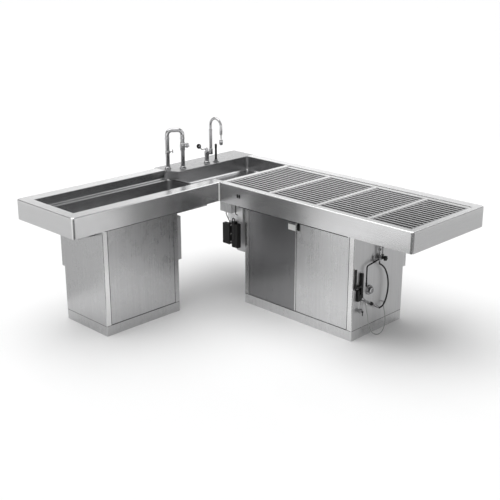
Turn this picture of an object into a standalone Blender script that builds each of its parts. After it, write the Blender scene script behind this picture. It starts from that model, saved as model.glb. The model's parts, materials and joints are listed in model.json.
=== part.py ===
"""Autopsy table: an L-shaped steel bench on two cabinets, with a two-level basin and a corner sink
in the left wing, slotted grates over a drain tray in the right wing, and taps and spray gear.

Metres, +Z up, +X along the right wing, +Y towards the back. The origin is on the floor, under the
middle of the bench. The inner corner of the L looks towards -Y and +X."""

from math import atan2, cos, pi, radians, sin

import bmesh
import bpy
from mathutils import Vector

# Driving dimensions
LENGTH_X = 2.37
LENGTH_Y = 2.085
TOP_Z = 0.900
LEFT_WIDTH = 0.655
RIGHT_WIDTH = 0.810
FASCIA = 0.142
SHEET = 0.0025
GAP = 0.0003
OVERRUN = 0.010
RUN_CLEAR = 0.0001

# Top bands, measured from the outer faces inwards
LEFT_FRONT_BAND = 0.095
LEFT_END_BAND = 0.075
LEFT_BACK_BAND = 0.100
RIGHT_FRONT_BAND = 0.045
RIGHT_END_BAND = 0.045
RIGHT_BACK_BAND = 0.075
DECK_WIDTH = 0.230
DECK_OVERHANG = 0.020
DECK_REACH = 0.048
RIM_RETURN = 0.030
RIM_LIP = 0.012
RIM_EDGE = 0.004

# Faces of the two wings
X_LEFT = -LENGTH_X / 2
X_RIGHT = LENGTH_X / 2
Y_LEFT = -LENGTH_Y / 2
Y_BACK = LENGTH_Y / 2
LEFT_BACK = X_LEFT + DECK_OVERHANG
INNER_X = LEFT_BACK + LEFT_WIDTH
INNER_Y = Y_BACK - RIGHT_WIDTH
DECK_Y = INNER_Y - DECK_REACH
DECK_FRONT = X_LEFT + DECK_WIDTH
FASCIA_Z = TOP_Z - FASCIA

# Two-level basin in the left wing
LEDGE_DEPTH = 0.065
LEDGE_BACK = 0.035
LEDGE_SIDE = 0.012
DEEP_DEPTH = 0.190
DEEP_CHAMFER_X = 0.040
DEEP_CHAMFER_Y = 0.022
DEEP_END_LEDGE = 0.026
RIM_SHOULDER = 0.0015
LEDGE_Z = TOP_Z - LEDGE_DEPTH
DEEP_Z = TOP_Z - DEEP_DEPTH
SHOULDER_Z = TOP_Z - RIM_SHOULDER
BASIN_X0 = LEFT_BACK + LEFT_BACK_BAND + GAP
BASIN_X1 = INNER_X - LEFT_FRONT_BAND - GAP
BASIN_Y0 = Y_LEFT + LEFT_END_BAND + GAP
STEP_X = DECK_FRONT + GAP
STEP_Y = DECK_Y - GAP / 2
BASIN_Y1 = INNER_Y - GAP
DEEP_X0 = BASIN_X0 + LEDGE_BACK
DEEP_X1 = BASIN_X1 - LEDGE_SIDE
DEEP_Y0 = BASIN_Y0 + LEDGE_BACK
DEEP_Y1 = BASIN_Y1 - DEEP_END_LEDGE

# Corner sink
SINK_DEPTH = 0.115
DIVIDER_LEFT = 0.010
DIVIDER_RIGHT = 0.028
SINK_Z = TOP_Z - SINK_DEPTH
SINK_X0 = STEP_X
SINK_X1 = INNER_X - DIVIDER_LEFT - GAP
SINK_Y0 = INNER_Y
SINK_NOTCH_Y = INNER_Y + RIGHT_FRONT_BAND + GAP
SINK_Y1 = Y_BACK - RIGHT_BACK_BAND - GAP

# Drain tray under the grates, with its divider, seats and back strip
TRAY_SHALLOW = 0.050
TRAY_DEEP = 0.100
SEAT_DEPTH = 0.0145
SEAT_WIDTH = 0.015
STRIP_WIDTH = 0.035
STRIP_DEPTH = 0.004
DIVIDER_THICK = 0.012
OUTLET_WIDTH = 0.120
OUTLET_HEIGHT = 0.018
TRAY_X0 = INNER_X
TRAY_X1 = X_RIGHT - RIGHT_END_BAND - GAP
TRAY_Y0 = SINK_NOTCH_Y
TRAY_Y1 = SINK_Y1
SEAT_Z = TOP_Z - SEAT_DEPTH
STRIP_Z = TOP_Z - STRIP_DEPTH
GRATE_Y0 = TRAY_Y0 + GAP
GRATE_Y1 = TRAY_Y1 - STRIP_WIDTH - GAP

# Cross rails and grates
RAIL_COUNT = 3
RAIL_PITCH_SHARE = 0.2652
RAIL_WIDTH = 0.018
GRATE_DROP = 0.003
GRATE_CLEAR = 0.0015
GRATE_END_BAR = 0.014
GRATE_SIDE_BAR = 0.008
SLOT_COUNT = 16
SLOT_SHARE = 0.52
RAIL_X0 = INNER_X + DIVIDER_RIGHT

# Cabinets
PLINTH_HEIGHT = 0.072
PLINTH_FLANGE = 0.030
POST_WIDTH = 0.040
REBATE = 0.010
SEAM = 0.004
LEFT_CAB_SETBACK = 0.030
LEFT_CAB_BACK_SETBACK = 0.162
LEFT_CAB_END_SETBACK = 0.243
LEFT_CAB_OFFSET = 0.376
RIGHT_CAB_SETBACK = 0.070
RIGHT_CAB_BACK_SETBACK = 0.180
RIGHT_CAB_END_SETBACK = 0.495
RIGHT_CAB_OFFSET = 0.193
LEFT_CAB_X1 = INNER_X - LEFT_CAB_SETBACK
LEFT_CAB_X0 = LEFT_BACK + LEFT_CAB_BACK_SETBACK
LEFT_CAB_Y1 = INNER_Y - LEFT_CAB_OFFSET
LEFT_CAB_Y0 = Y_LEFT + LEFT_CAB_END_SETBACK
RIGHT_CAB_X0 = INNER_X + RIGHT_CAB_OFFSET
RIGHT_CAB_X1 = X_RIGHT - RIGHT_CAB_END_SETBACK
RIGHT_CAB_Y0 = INNER_Y + RIGHT_CAB_SETBACK
RIGHT_CAB_Y1 = Y_BACK - RIGHT_CAB_BACK_SETBACK
PANEL_Z0 = PLINTH_HEIGHT + GAP
BASIN_UNDER = DEEP_Z - SHEET
LEFT_PANEL_TOP = BASIN_UNDER - GAP
POST_TOP = FASCIA_Z - GAP
BACK_PANEL_TOP = FASCIA_Z - SHEET

# Doors, their hinge rods and the latch
DOOR_THICK = 0.018
DOOR_TOP = 0.735
DOOR_FOOT = 0.004
DOOR_SHEET = 0.0015
HINGE_INSET = 0.009
ROD_RADIUS = 0.004
ROD_TOP = 0.744
BRACKET_THICK = 0.003
BRACKET_SIZE = 0.022
LATCH_WIDTH = 0.024
LATCH_HEIGHT = 0.055
LATCH_BODY = 0.014
LATCH_INSET = 0.016
LATCH_DROP = 0.034
SPINDLE_RADIUS = 0.005
CAM_LENGTH = 0.040
CAM_WIDTH = 0.012
CAM_THICK = 0.003

# Sheet-steel service ducts on the cabinets
DUCT_BOTTOM = 0.385
DUCT_SETBACK = 0.015
DUCT_DEPTH = 0.050
DUCT_SLIM_DEPTH = 0.040
DUCT_WIDE_DEPTH = 0.100
DUCT_WIDTH = 0.380

# Control gear under the inner corner
BOX_SETBACK = 0.004
BOX_LENGTH = 0.118
BOX_DEPTH = 0.052
BOX_HEIGHT = 0.070
PLATE_START = 0.030
PLATE_LENGTH = 0.155
PLATE_DROP = 0.135
STRIP_START = 0.050
STRIP_LENGTH = 0.085
STRIP_DROP = 0.320
CONTROL_START = 0.011
CONTROL_WIDTH = 0.086
CONTROL_HEIGHT = 0.156
CONTROL_DEPTH = 0.036
CONTROL_TOP = 0.594
CONTROL_2_WIDTH = 0.091
CONTROL_2_HEIGHT = 0.194
CONTROL_2_TOP = 0.620
CONTROL_SPACE = 0.009
GLAND_START = 0.042
GLAND_RADIUS = 0.008
GLAND_LENGTH = 0.014
CABLE_RADIUS = 0.003
CABLE_SHIFT = 0.026
CABLE_LEAD = 0.014
BUTTON_START = 0.189
BUTTON_SPACE = 0.020
BUTTON_WIDTH = 0.010
BUTTON_HEIGHT = 0.028
BUTTON_DROP = 0.068
BUTTON_PROUD = 0.003
BUTTON_INSIDE = 0.008
BUTTON_HEAD = 0.0015

# Drains
DRAIN_RADIUS = 0.045
STRAINER_FLANGE = 0.054
STRAINER_THICK = 0.002
STRAINER_KNOB = 0.007
STRAINER_KNOB_HEIGHT = 0.016
WASTE_RADIUS = 0.025
WASTE_FLANGE = 0.056
WASTE_FLANGE_THICK = 0.006
WASTE_BEND = 0.060
TRAP_DROP = 0.140
WASTE_FOOT = 0.012
SINK_DRAIN_X = 0.150
SINK_DRAIN_Y = 0.330
SINK_RUN_DROP = 0.062
PIPE_CLEAR = 0.002
BASIN_DRAIN_SHARE = 0.5

# Rinse pipe loop on the deck
LOOP_RADIUS = 0.0155
LOOP_HEIGHT = 0.3135
LOOP_BEND = 0.036
LOOP_BACK = 0.103
LOOP_ALONG = 0.003
LOOP_STEP_X = 0.070
LOOP_STEP_Y = 0.092
FLANGE_RADIUS = 0.026
FLANGE_THICK = 0.005
LOOP_VALVE_Z = 0.172
LOOP_VALVE_RADIUS = 0.021
LOOP_VALVE_LENGTH = 0.060
LOOP_STEM = 0.014
LOOP_KNOB_RADIUS = 0.020
LOOP_KNOB_LENGTH = 0.022
LOOP_KNOB_SHARES = (0.5, 0.5, 0.85, 1.0, 0.9)
LOOP_LEVER_Z = 0.128
LOOP_LEVER_LENGTH = 0.038
LOOP_LEVER_RADIUS = 0.004
LOOP_LEVER_HUB = 0.009
LOOP_LEVER_TIP = 0.007

# Mixer, gooseneck and hand spray on the deck
MIXER_BACK = 0.173
MIXER_ALONG = 0.388
MIXER_RADIUS = 0.0175
MIXER_HEIGHT = 0.098
MIXER_HEAD_RADIUS = 0.013
MIXER_ARM = 0.044
MIXER_ARM_RADIUS = 0.011
MIXER_ARM_Z = 0.078
MIXER_HUB_RADIUS = 0.015
LEVER_RADIUS = 0.0055
LEVER_LENGTH = 0.082
LEVER_PADDLE_RADIUS = 0.019
LEVER_PADDLE_THICK = 0.010
LEVER_TIP_RISE = 0.028
GOOSE_RADIUS = 0.0095
GOOSE_SLEEVE = 0.0125
GOOSE_SLEEVE_LENGTH = 0.110
GOOSE_REACH = 0.118
GOOSE_TOP = 0.364
NOZZLE_RADIUS = 0.011
NOZZLE_LENGTH = 0.045
NOZZLE_THIN = 0.005
NOZZLE_THIN_LENGTH = 0.036
NOZZLE_BULB = 0.015
NOZZLE_BULB_LENGTH = 0.046
SPRAY_ALONG = 0.432
SPRAY_BACK = 0.184
SPRAY_RADIUS = 0.0095
SPRAY_HEIGHT = 0.140
SPRAY_CUP = 0.018
SPRAY_CUP_RADIUS = 0.0145
SPRAY_SEAT = 0.004
SPRAY_TIP_SHARE = 0.7

# Water gear on the end face of the right cabinet
FACE_CLEAR = 0.020
VALVE_ALONG = 0.270
VALVE_Z = 0.535
VALVE_RADIUS = 0.012
VALVE_LENGTH = 0.060
FEED_RADIUS = 0.006
FEED_SPACE = 0.032
FEED_KNEE = 0.020
FEED_NUT_Z = 0.600
FEED_NUT_RADIUS = 0.010
FEED_NUT_LENGTH = 0.014
LOW_PIPE_ALONG = 0.118
LOW_PIPE_Z = 0.372
LOW_PIPE_BEND = 0.015
VALVE_KNOB_RADIUS = 0.019
VALVE_KNOB_LENGTH = 0.022
VALVE_KNOB_SHARES = (0.6, 1.0, 0.9)
DIAL_ALONG = 0.175
DIAL_Z = 0.328
DIAL_RADIUS = 0.034
DIAL_LENGTH = 0.028
DIAL_SHARES = (1.0, 1.0, 0.7, 0.62)
GUN_ALONG = 0.080
GUN_WIDTH = 0.030
GUN_THICK = 0.026
GUN_Z0 = 0.308
GUN_Z1 = 0.472
GUN_HEAD_Z0 = 0.275
GUN_HEAD_ALONG = 0.024
GUN_HEAD_THICK = 0.022
COUPLING_ALONG = 0.075
COUPLING_Z = 0.296
COUPLING_END_ALONG = 0.262
COUPLING_END_Z = 0.182
COUPLING_RADIUS = 0.0125
COUPLING_SHARES = ((0.0, 0.8), (0.22, 0.8), (0.22, 0.4), (0.55, 0.4), (0.55, 1.0), (0.66, 1.0),
                   (0.66, 0.4), (0.74, 0.4), (0.74, 0.64), (1.0, 0.64))
TRIGGER_ALONG = 0.006
TRIGGER_WIDTH = 0.020
TRIGGER_THICK = 0.014
TRIGGER_Z0 = 0.368
TRIGGER_Z1 = 0.515
TRIGGER_ARM_Z = 0.386
TRIGGER_ARM_RADIUS = 0.008
TRIGGER_PIVOT = 0.011
TRIGGER_ARM_END = 0.005
PIN_RADIUS = 0.003
EAR_REACH = 0.008
COCK_ALONG = 0.066
COCK_Z = 0.208
COCK_RADIUS = 0.011
COCK_PIPE_RADIUS = 0.004
COCK_LENGTH = 0.030
COCK_HANDLE_LENGTH = 0.026
COCK_HUB_SHARE = 0.6
SPRAY_HOSE_RADIUS = 0.0055
SPRAY_HOSE_ROUTE = ((0.284, 0.478, 0.025), (0.316, 0.440, 0.028), (0.341, 0.374, 0.032), (0.345, 0.300, 0.034),
                    (0.330, 0.228, 0.032), (0.305, 0.185, 0.027))
HOSE_LEAD = 0.018
THIN_HOSE_RADIUS = 0.003
THIN_HOSE_ROUTE = ((0.128, 0.170, 0.030), (0.134, 0.090, 0.044), (0.160, 0.034, 0.054), (0.214, 0.0065, 0.060),
                   (0.270, 0.014, 0.058), (0.310, 0.060, 0.048), (0.322, 0.120, 0.034))
THIN_SPIGOT_RADIUS = 0.0055
THIN_SPIGOT_LENGTH = 0.014
THIN_SPIGOT_ALONG = 0.126
THIN_SPIGOT_Z = 0.250
THIN_SPIGOT_2_ALONG = 0.322
THIN_SPIGOT_2_Z = 0.205
SIDES = 16
SMALL_SIDES = 12
HOLE_SIDES = 24


for old in list(bpy.data.objects):
    bpy.data.objects.remove(old, do_unlink=True)


def material(name, colour, roughness, metallic):
    mat = bpy.data.materials.new(name)
    mat.use_nodes = True
    shader = mat.node_tree.nodes["Principled BSDF"]
    shader.inputs["Base Color"].default_value = (*colour, 1.0)
    shader.inputs["Roughness"].default_value = roughness
    shader.inputs["Metallic"].default_value = metallic
    return mat


BRUSHED = material("brushed steel", (0.60, 0.60, 0.60), 0.32, 1.0)
PANEL = material("panel steel", (0.52, 0.52, 0.53), 0.38, 1.0)
POLISHED = material("polished steel", (0.72, 0.72, 0.73), 0.14, 1.0)
BLACK = material("black plastic", (0.015, 0.015, 0.016), 0.40, 0.0)
RUBBER = material("dark rubber", (0.035, 0.035, 0.037), 0.60, 0.0)
PALE = material("pale plastic", (0.60, 0.61, 0.60), 0.45, 0.0)
PIPE = material("waste pipe", (0.42, 0.43, 0.44), 0.50, 0.0)


# Shared shapes

def block(bm, low, high):
    """A box between two corners."""
    made = bmesh.ops.create_cube(bm, size=1.0)["verts"]
    for vert in made:
        vert.co = Vector(low[i] + (vert.co[i] + 0.5) * (high[i] - low[i]) for i in range(3))


def loft(bm, rings):
    """A closed solid through rings of points that match one to one."""
    rings = [[bm.verts.new(point) for point in ring] for ring in rings]
    bm.faces.new(rings[0][::-1])
    bm.faces.new(rings[-1])
    for low, high in zip(rings, rings[1:]):
        for i in range(len(low)):
            j = (i + 1) % len(low)
            bm.faces.new((low[i], low[j], high[j], high[i]))


def prism(bm, outline, low, high):
    """A closed upright solid over an outline in the XY plane."""
    loft(bm, [[(x, y, z) for x, y in outline] for z in (low, high)])


def sweep(bm, stations, sides=SIDES):
    """A round solid along a path: each station is a point and the radius there."""
    points = [Vector(point) for point, _ in stations]
    steps = [b - a for a, b in zip(points, points[1:])]
    runs = [step.normalized() for step in steps if step.length > GAP / 10]
    along = runs[0]
    side = along.orthogonal().normalized()
    rings = []
    for i, (point, (_, radius)) in enumerate(zip(points, stations)):
        before = next((steps[k] for k in range(i - 1, -1, -1) if steps[k].length > GAP / 10), None)
        after = next((steps[k] for k in range(i, len(steps)) if steps[k].length > GAP / 10), None)
        both = [v.normalized() for v in (before, after) if v]
        heading = sum(both, Vector()).normalized()
        side = (side - heading * side.dot(heading)).normalized()
        other = heading.cross(side)
        turns = [2 * pi * k / sides for k in range(sides)]
        rings.append([bm.verts.new(point + (side * cos(t) + other * sin(t)) * radius) for t in turns])
    for a, b in zip(rings, rings[1:]):
        for k in range(sides):
            bm.faces.new((a[k], a[(k + 1) % sides], b[(k + 1) % sides], b[k]))
    bm.faces.new(rings[0][::-1])
    bm.faces.new(rings[-1])


def bent(points, bend, steps=5):
    """The points of a pipe's centre line, with each corner turned into an arc of the bend radius."""
    route = [Vector(points[0])]
    for a, b, c in zip(points, points[1:], points[2:]):
        a, b, c = Vector(a), Vector(b), Vector(c)
        u, v = (a - b).normalized(), (c - b).normalized()
        half = u.angle(v) / 2
        reach = bend * cos(half) / sin(half)
        centre = b + (u + v).normalized() * (bend / sin(half))
        first, last = b + u * reach, b + v * reach
        p, q = first - centre, last - centre
        for k in range(steps + 1):
            turn = p.angle(q) * k / steps
            ratio = sin(turn) / sin(p.angle(q))
            route.append(centre + p * (cos(turn) - cos(p.angle(q)) * ratio) + q * ratio)
    route.append(Vector(points[-1]))
    return route


def smooth_route(points, steps):
    """Points read from a smooth curve through the given ones."""
    ends = [Vector(p) for p in points]
    ends = [2 * ends[0] - ends[1]] + ends + [2 * ends[-1] - ends[-2]]
    route = []
    for a, b, c, d in zip(ends, ends[1:], ends[2:], ends[3:]):
        for k in range(steps):
            t = k / steps
            route.append((2 * b + (c - a) * t + (2 * a - 5 * b + 4 * c - d) * t * t
                          + (3 * b - a - 3 * c + d) * t ** 3) / 2)
    return route + [Vector(points[-1])]


def finish(name, bm, mat, smooth=0.0):
    """Makes an object of a mesh; smooth is the sharpest angle that is still shaded round."""
    bmesh.ops.recalc_face_normals(bm, faces=bm.faces)
    mesh = bpy.data.meshes.new(name)
    bm.to_mesh(mesh)
    bm.free()
    if smooth:
        mesh.shade_smooth()
        mesh.set_sharp_from_angle(angle=smooth)
    mesh.materials.append(mat)
    thing = bpy.data.objects.new(name, mesh)
    bpy.context.scene.collection.objects.link(thing)
    return thing


def blocks(name, mat, *corners):
    """One object of boxes, the first as its mesh and the others joined to it."""
    bm = bmesh.new()
    block(bm, *corners[0])
    thing = finish(name, bm, mat)
    for low, high in corners[1:]:
        extra = bmesh.new()
        block(extra, low, high)
        combine(thing, extra, "UNION")
    return thing


def combine(thing, bm, operation):
    """Joins a mesh to an object, or cuts it out, with a live Boolean."""
    tool = finish(f"{thing.name} {operation.lower()} tool", bm, PANEL)
    tool.hide_render = True
    tool.display_type = "WIRE"
    boolean = thing.modifiers.new(operation.lower(), "BOOLEAN")
    boolean.operation = operation
    boolean.object = tool
    boolean.solver = "EXACT"


def cut_box(thing, low, high):
    bm = bmesh.new()
    block(bm, low, high)
    combine(thing, bm, "DIFFERENCE")


def join_box(thing, low, high):
    bm = bmesh.new()
    block(bm, low, high)
    combine(thing, bm, "UNION")


def cut_round(thing, start, end, radius, sides=SIDES):
    bm = bmesh.new()
    sweep(bm, [(start, radius), (end, radius)], sides)
    combine(thing, bm, "DIFFERENCE")


def join_round(thing, start, end, radius, sides=SIDES):
    bm = bmesh.new()
    sweep(bm, [(start, radius), (end, radius)], sides)
    combine(thing, bm, "UNION")


def running_hole(radius):
    """Radius of a many-sided hole whose flats clear a shaft."""
    return (radius + RUN_CLEAR) / cos(pi / SMALL_SIDES)


def turned(name, stations, mat, sides=SIDES):
    """A round piece along a path of points and radii."""
    bm = bmesh.new()
    sweep(bm, stations, sides)
    return finish(name, bm, mat, radians(40))


def cord(name, route, radius, mat):
    """A flexible tube: a curve with a round section and closed ends."""
    curve = bpy.data.curves.new(name, "CURVE")
    curve.dimensions = "3D"
    curve.bevel_depth = radius
    curve.bevel_resolution = 2
    curve.use_fill_caps = True
    spline = curve.splines.new("POLY")
    spline.points.add(len(route) - 1)
    for point, place in zip(spline.points, route):
        point.co = (*place, 1.0)
    curve.materials.append(mat)
    thing = bpy.data.objects.new(name, curve)
    bpy.context.scene.collection.objects.link(thing)
    return thing


def grown(outline, by):
    """An outline, counter-clockwise, with each side moved out by a distance."""
    moved = []
    count = len(outline)
    for i in range(count):
        a, b, c = (Vector(outline[(i + k) % count]) for k in (-1, 0, 1))
        u, v = (b - a).normalized(), (c - b).normalized()
        n, m = Vector((u.y, -u.x)), Vector((v.y, -v.x))
        moved.append(tuple(b + (n + m) * (by / (1 + n.dot(m)))))
    return moved


# Rims: folded channels with a top band, a fascia, a bottom return and an inner lip

def rim_profile(band):
    """Points across a rim: distance from the outer face, and height."""
    return [
        (0.0, TOP_Z - RIM_EDGE), (RIM_EDGE, TOP_Z), (band, TOP_Z), (band, TOP_Z - RIM_LIP),
        (band - SHEET, TOP_Z - RIM_LIP), (band - SHEET, TOP_Z - SHEET), (RIM_EDGE, TOP_Z - SHEET),
        (SHEET, TOP_Z - RIM_EDGE), (SHEET, FASCIA_Z + SHEET), (RIM_RETURN, FASCIA_Z + SHEET),
        (RIM_RETURN, FASCIA_Z), (0.0, FASCIA_Z),
    ]


def rim(name, corner, along, inward, length, band, start_slope, end_slope):
    """A rim from a corner: each slope is how far its end runs back for each unit inwards."""
    bm = bmesh.new()
    corner, along, inward = Vector(corner), Vector(along), Vector(inward)
    ends = []
    for travel, slope in ((GAP / 2, start_slope), (length - GAP / 2, -end_slope)):
        places = [corner + along * (travel + u * slope) + inward * u for u, _ in rim_profile(band)]
        ends.append([(place.x, place.y, z) for place, (_, z) in zip(places, rim_profile(band))])
    loft(bm, ends)
    return finish(name, bm, BRUSHED)


def make_rims():
    rim("left_front_rim", (INNER_X, Y_LEFT), (0, 1), (-1, 0), INNER_Y - Y_LEFT, LEFT_FRONT_BAND,
        LEFT_END_BAND / LEFT_FRONT_BAND, -RIGHT_FRONT_BAND / LEFT_FRONT_BAND)
    rim("left_end_rim", (LEFT_BACK, Y_LEFT), (1, 0), (0, 1), LEFT_WIDTH, LEFT_END_BAND,
        LEFT_BACK_BAND / LEFT_END_BAND, LEFT_FRONT_BAND / LEFT_END_BAND)
    rim("left_back_rim", (LEFT_BACK, Y_LEFT), (0, 1), (1, 0), DECK_Y - Y_LEFT, LEFT_BACK_BAND,
        LEFT_END_BAND / LEFT_BACK_BAND, 0)
    front = rim("right_front_rim", (INNER_X, INNER_Y), (1, 0), (0, 1), X_RIGHT - INNER_X, RIGHT_FRONT_BAND,
                -LEFT_FRONT_BAND / RIGHT_FRONT_BAND, RIGHT_END_BAND / RIGHT_FRONT_BAND)
    for low, high in (button_box(0, GAP), button_box(1, GAP)):
        cut_box(front, (low[0], INNER_Y - OVERRUN, low[2]), (high[0], INNER_Y + OVERRUN, high[2]))
    rim("right_end_rim", (X_RIGHT, INNER_Y), (0, 1), (-1, 0), RIGHT_WIDTH, RIGHT_END_BAND,
        RIGHT_FRONT_BAND / RIGHT_END_BAND, RIGHT_BACK_BAND / RIGHT_END_BAND)
    rim("right_back_rim", (DECK_FRONT, Y_BACK), (1, 0), (0, -1), X_RIGHT - DECK_FRONT, RIGHT_BACK_BAND,
        0, RIGHT_END_BAND / RIGHT_BACK_BAND)


def make_deck():
    """The deck that carries the taps, with a slanted corner where the basin meets the sink."""
    def outline(edge):
        left, back, front = X_LEFT + edge, Y_BACK - edge, DECK_Y + GAP / 2
        return [(left, front), (BASIN_X0 - GAP, front), (DECK_FRONT, BASIN_Y1),
                (DECK_FRONT, back), (left, back)]

    bm = bmesh.new()
    tiers = ((0.0, FASCIA_Z), (0.0, TOP_Z - RIM_EDGE), (RIM_EDGE, TOP_Z))
    loft(bm, [[(x, y, z) for x, y in outline(edge)] for edge, z in tiers])
    deck = finish("tap_deck", bm, BRUSHED)
    hollow = bmesh.new()
    inner = grown(outline(0.0), -SHEET)
    loft(hollow, [[(x, y, z) for x, y in inner] for z in (FASCIA_Z + SHEET, TOP_Z - SHEET * 2)])
    combine(deck, hollow, "DIFFERENCE")
    under = bmesh.new()
    inner = grown(outline(RIM_EDGE), -SHEET)
    loft(under, [[(x, y, z) for x, y in inner] for z in (FASCIA_Z + SHEET * 2, TOP_Z - SHEET)])
    combine(deck, under, "DIFFERENCE")
    cut_box(deck, (X_LEFT + RIM_RETURN, DECK_Y + SHEET, FASCIA_Z - OVERRUN),
            (DECK_FRONT + OVERRUN, Y_BACK - SHEET, TOP_Z - RIM_LIP))
    cut_box(deck, (BASIN_X0 - GAP - SHEET, DECK_Y - OVERRUN, FASCIA_Z - OVERRUN),
            (DECK_FRONT + OVERRUN, DECK_Y + OVERRUN, TOP_Z - RIM_LIP))
    base = spray_place()
    socket = bmesh.new()
    heights = (-SHEET / 2, FLANGE_THICK, FLANGE_THICK, SPRAY_CUP)
    radii = (FLANGE_RADIUS, FLANGE_RADIUS, SPRAY_CUP_RADIUS, SPRAY_CUP_RADIUS)
    sweep(socket, [(base + Vector((0, 0, height)), radius) for height, radius in zip(heights, radii)])
    combine(deck, socket, "UNION")
    cut_round(deck, base + Vector((0, 0, SPRAY_SEAT)), base + Vector((0, 0, SPRAY_CUP + OVERRUN)),
              SPRAY_RADIUS + GAP)


# Basin, sink and tray

def basin_outline():
    return [(BASIN_X0, BASIN_Y0), (BASIN_X1, BASIN_Y0), (BASIN_X1, BASIN_Y1), (STEP_X, BASIN_Y1),
            (BASIN_X0, STEP_Y)]


def deep_outline():
    return [(DEEP_X0, DEEP_Y0), (DEEP_X1, DEEP_Y0), (DEEP_X1, DEEP_Y1),
            (DEEP_X0 + DEEP_CHAMFER_X, DEEP_Y1), (DEEP_X0, DEEP_Y1 - DEEP_CHAMFER_Y)]


def basin_drain():
    y = LEFT_CAB_Y0 + (LEFT_CAB_Y1 - LEFT_CAB_Y0) * BASIN_DRAIN_SHARE
    return (DEEP_X0 + DEEP_X1) / 2, y


def sink_drain():
    return INNER_X - SINK_DRAIN_X, INNER_Y + SINK_DRAIN_Y


def make_basin():
    bm = bmesh.new()
    prism(bm, basin_outline(), LEDGE_Z - SHEET, SHOULDER_Z)
    basin = finish("left_basin", bm, BRUSHED)
    deep = bmesh.new()
    prism(deep, grown(deep_outline(), SHEET), BASIN_UNDER, LEDGE_Z - SHEET / 2)
    combine(basin, deep, "UNION")
    upper = bmesh.new()
    prism(upper, grown(basin_outline(), -SHEET), LEDGE_Z, TOP_Z + OVERRUN)
    combine(basin, upper, "DIFFERENCE")
    cut_box(basin, (STEP_X + SHEET, BASIN_Y1 - SHEET * 2, LEDGE_Z),
            (BASIN_X1 - SHEET, BASIN_Y1 + OVERRUN, TOP_Z + OVERRUN))
    hollow = bmesh.new()
    prism(hollow, deep_outline(), DEEP_Z, LEDGE_Z + OVERRUN)
    combine(basin, hollow, "DIFFERENCE")
    x, y = basin_drain()
    cut_round(basin, (x, y, BASIN_UNDER - OVERRUN), (x, y, DEEP_Z + OVERRUN), DRAIN_RADIUS)


def make_sink():
    outline = [(SINK_X0, SINK_Y0), (BASIN_X1, SINK_Y0), (BASIN_X1, SINK_NOTCH_Y), (SINK_X1, SINK_NOTCH_Y),
               (SINK_X1, SINK_Y1), (SINK_X0, SINK_Y1)]
    bm = bmesh.new()
    prism(bm, outline, SINK_Z - SHEET, SHOULDER_Z)
    sink = finish("corner_sink", bm, BRUSHED)
    hollow = bmesh.new()
    prism(hollow, grown(outline, -SHEET), SINK_Z, TOP_Z + OVERRUN)
    combine(sink, hollow, "DIFFERENCE")
    cut_box(sink, (SINK_X0 + SHEET, SINK_Y0 - OVERRUN, LEDGE_Z),
            (BASIN_X1 - SHEET, SINK_Y0 + SHEET * 2, TOP_Z + OVERRUN))
    x, y = sink_drain()
    cut_round(sink, (x, y, SINK_Z - SHEET - OVERRUN), (x, y, SINK_Z + OVERRUN), DRAIN_RADIUS)
    outlet_y = (TRAY_Y0 + TRAY_Y1) / 2
    cut_box(sink, (SINK_X1 - SHEET * 2, outlet_y - OUTLET_WIDTH / 2, tray_floor(TRAY_X0)),
            (SINK_X1 + OVERRUN, outlet_y + OUTLET_WIDTH / 2, tray_floor(TRAY_X0) + OUTLET_HEIGHT))


def tray_floor(x):
    """Height of the tray's floor, which falls towards the corner sink."""
    run = (x - TRAY_X0) / (TRAY_X1 - TRAY_X0)
    return TOP_Z - TRAY_DEEP + (TRAY_DEEP - TRAY_SHALLOW) * run


def tray_section(x):
    """Points across the folded tray at one end: front seat, floor, back strip and back seat."""
    floor, lip = tray_floor(x), TRAY_Y1 - STRIP_WIDTH
    return [
        (TRAY_Y0, SEAT_Z), (TRAY_Y0, floor - SHEET), (TRAY_Y1, floor - SHEET), (TRAY_Y1, STRIP_Z),
        (lip, STRIP_Z), (lip, SEAT_Z), (lip - SEAT_WIDTH, SEAT_Z), (lip - SEAT_WIDTH, SEAT_Z - SHEET),
        (lip + SHEET, SEAT_Z - SHEET), (lip + SHEET, STRIP_Z - SHEET), (TRAY_Y1 - SHEET, STRIP_Z - SHEET),
        (TRAY_Y1 - SHEET, floor), (TRAY_Y0 + SHEET, floor), (TRAY_Y0 + SHEET, SEAT_Z - SHEET),
        (TRAY_Y0 + SEAT_WIDTH, SEAT_Z - SHEET), (TRAY_Y0 + SEAT_WIDTH, SEAT_Z),
    ]


def make_tray():
    bm = bmesh.new()
    loft(bm, [[(x, y, z) for y, z in tray_section(x)] for x in (TRAY_X0, TRAY_X1)])
    tray = finish("drain_tray", bm, BRUSHED)
    inside = SHEET / 2
    for x0, x1 in ((TRAY_X0 - inside, TRAY_X0 + inside), (TRAY_X1 - inside * 2, TRAY_X1 - inside / 2)):
        join_box(tray, (x0, TRAY_Y0 + inside, tray_floor(x1) - inside),
                 (x1, TRAY_Y1 - inside, SEAT_Z - inside))
    join_box(tray, (INNER_X - DIVIDER_LEFT, TRAY_Y0, SHOULDER_Z - DIVIDER_THICK),
             (INNER_X + DIVIDER_RIGHT - GAP, TRAY_Y1, SHOULDER_Z))
    outlet_y = (TRAY_Y0 + TRAY_Y1) / 2
    cut_box(tray, (TRAY_X0 - OVERRUN, outlet_y - OUTLET_WIDTH / 2, tray_floor(TRAY_X0) + inside),
            (TRAY_X0 + OVERRUN, outlet_y + OUTLET_WIDTH / 2, tray_floor(TRAY_X0) + OUTLET_HEIGHT))


def rail_x(index):
    """Middle of a cross rail."""
    return RAIL_X0 + (TRAY_X1 - RAIL_X0) * RAIL_PITCH_SHARE * index


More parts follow.
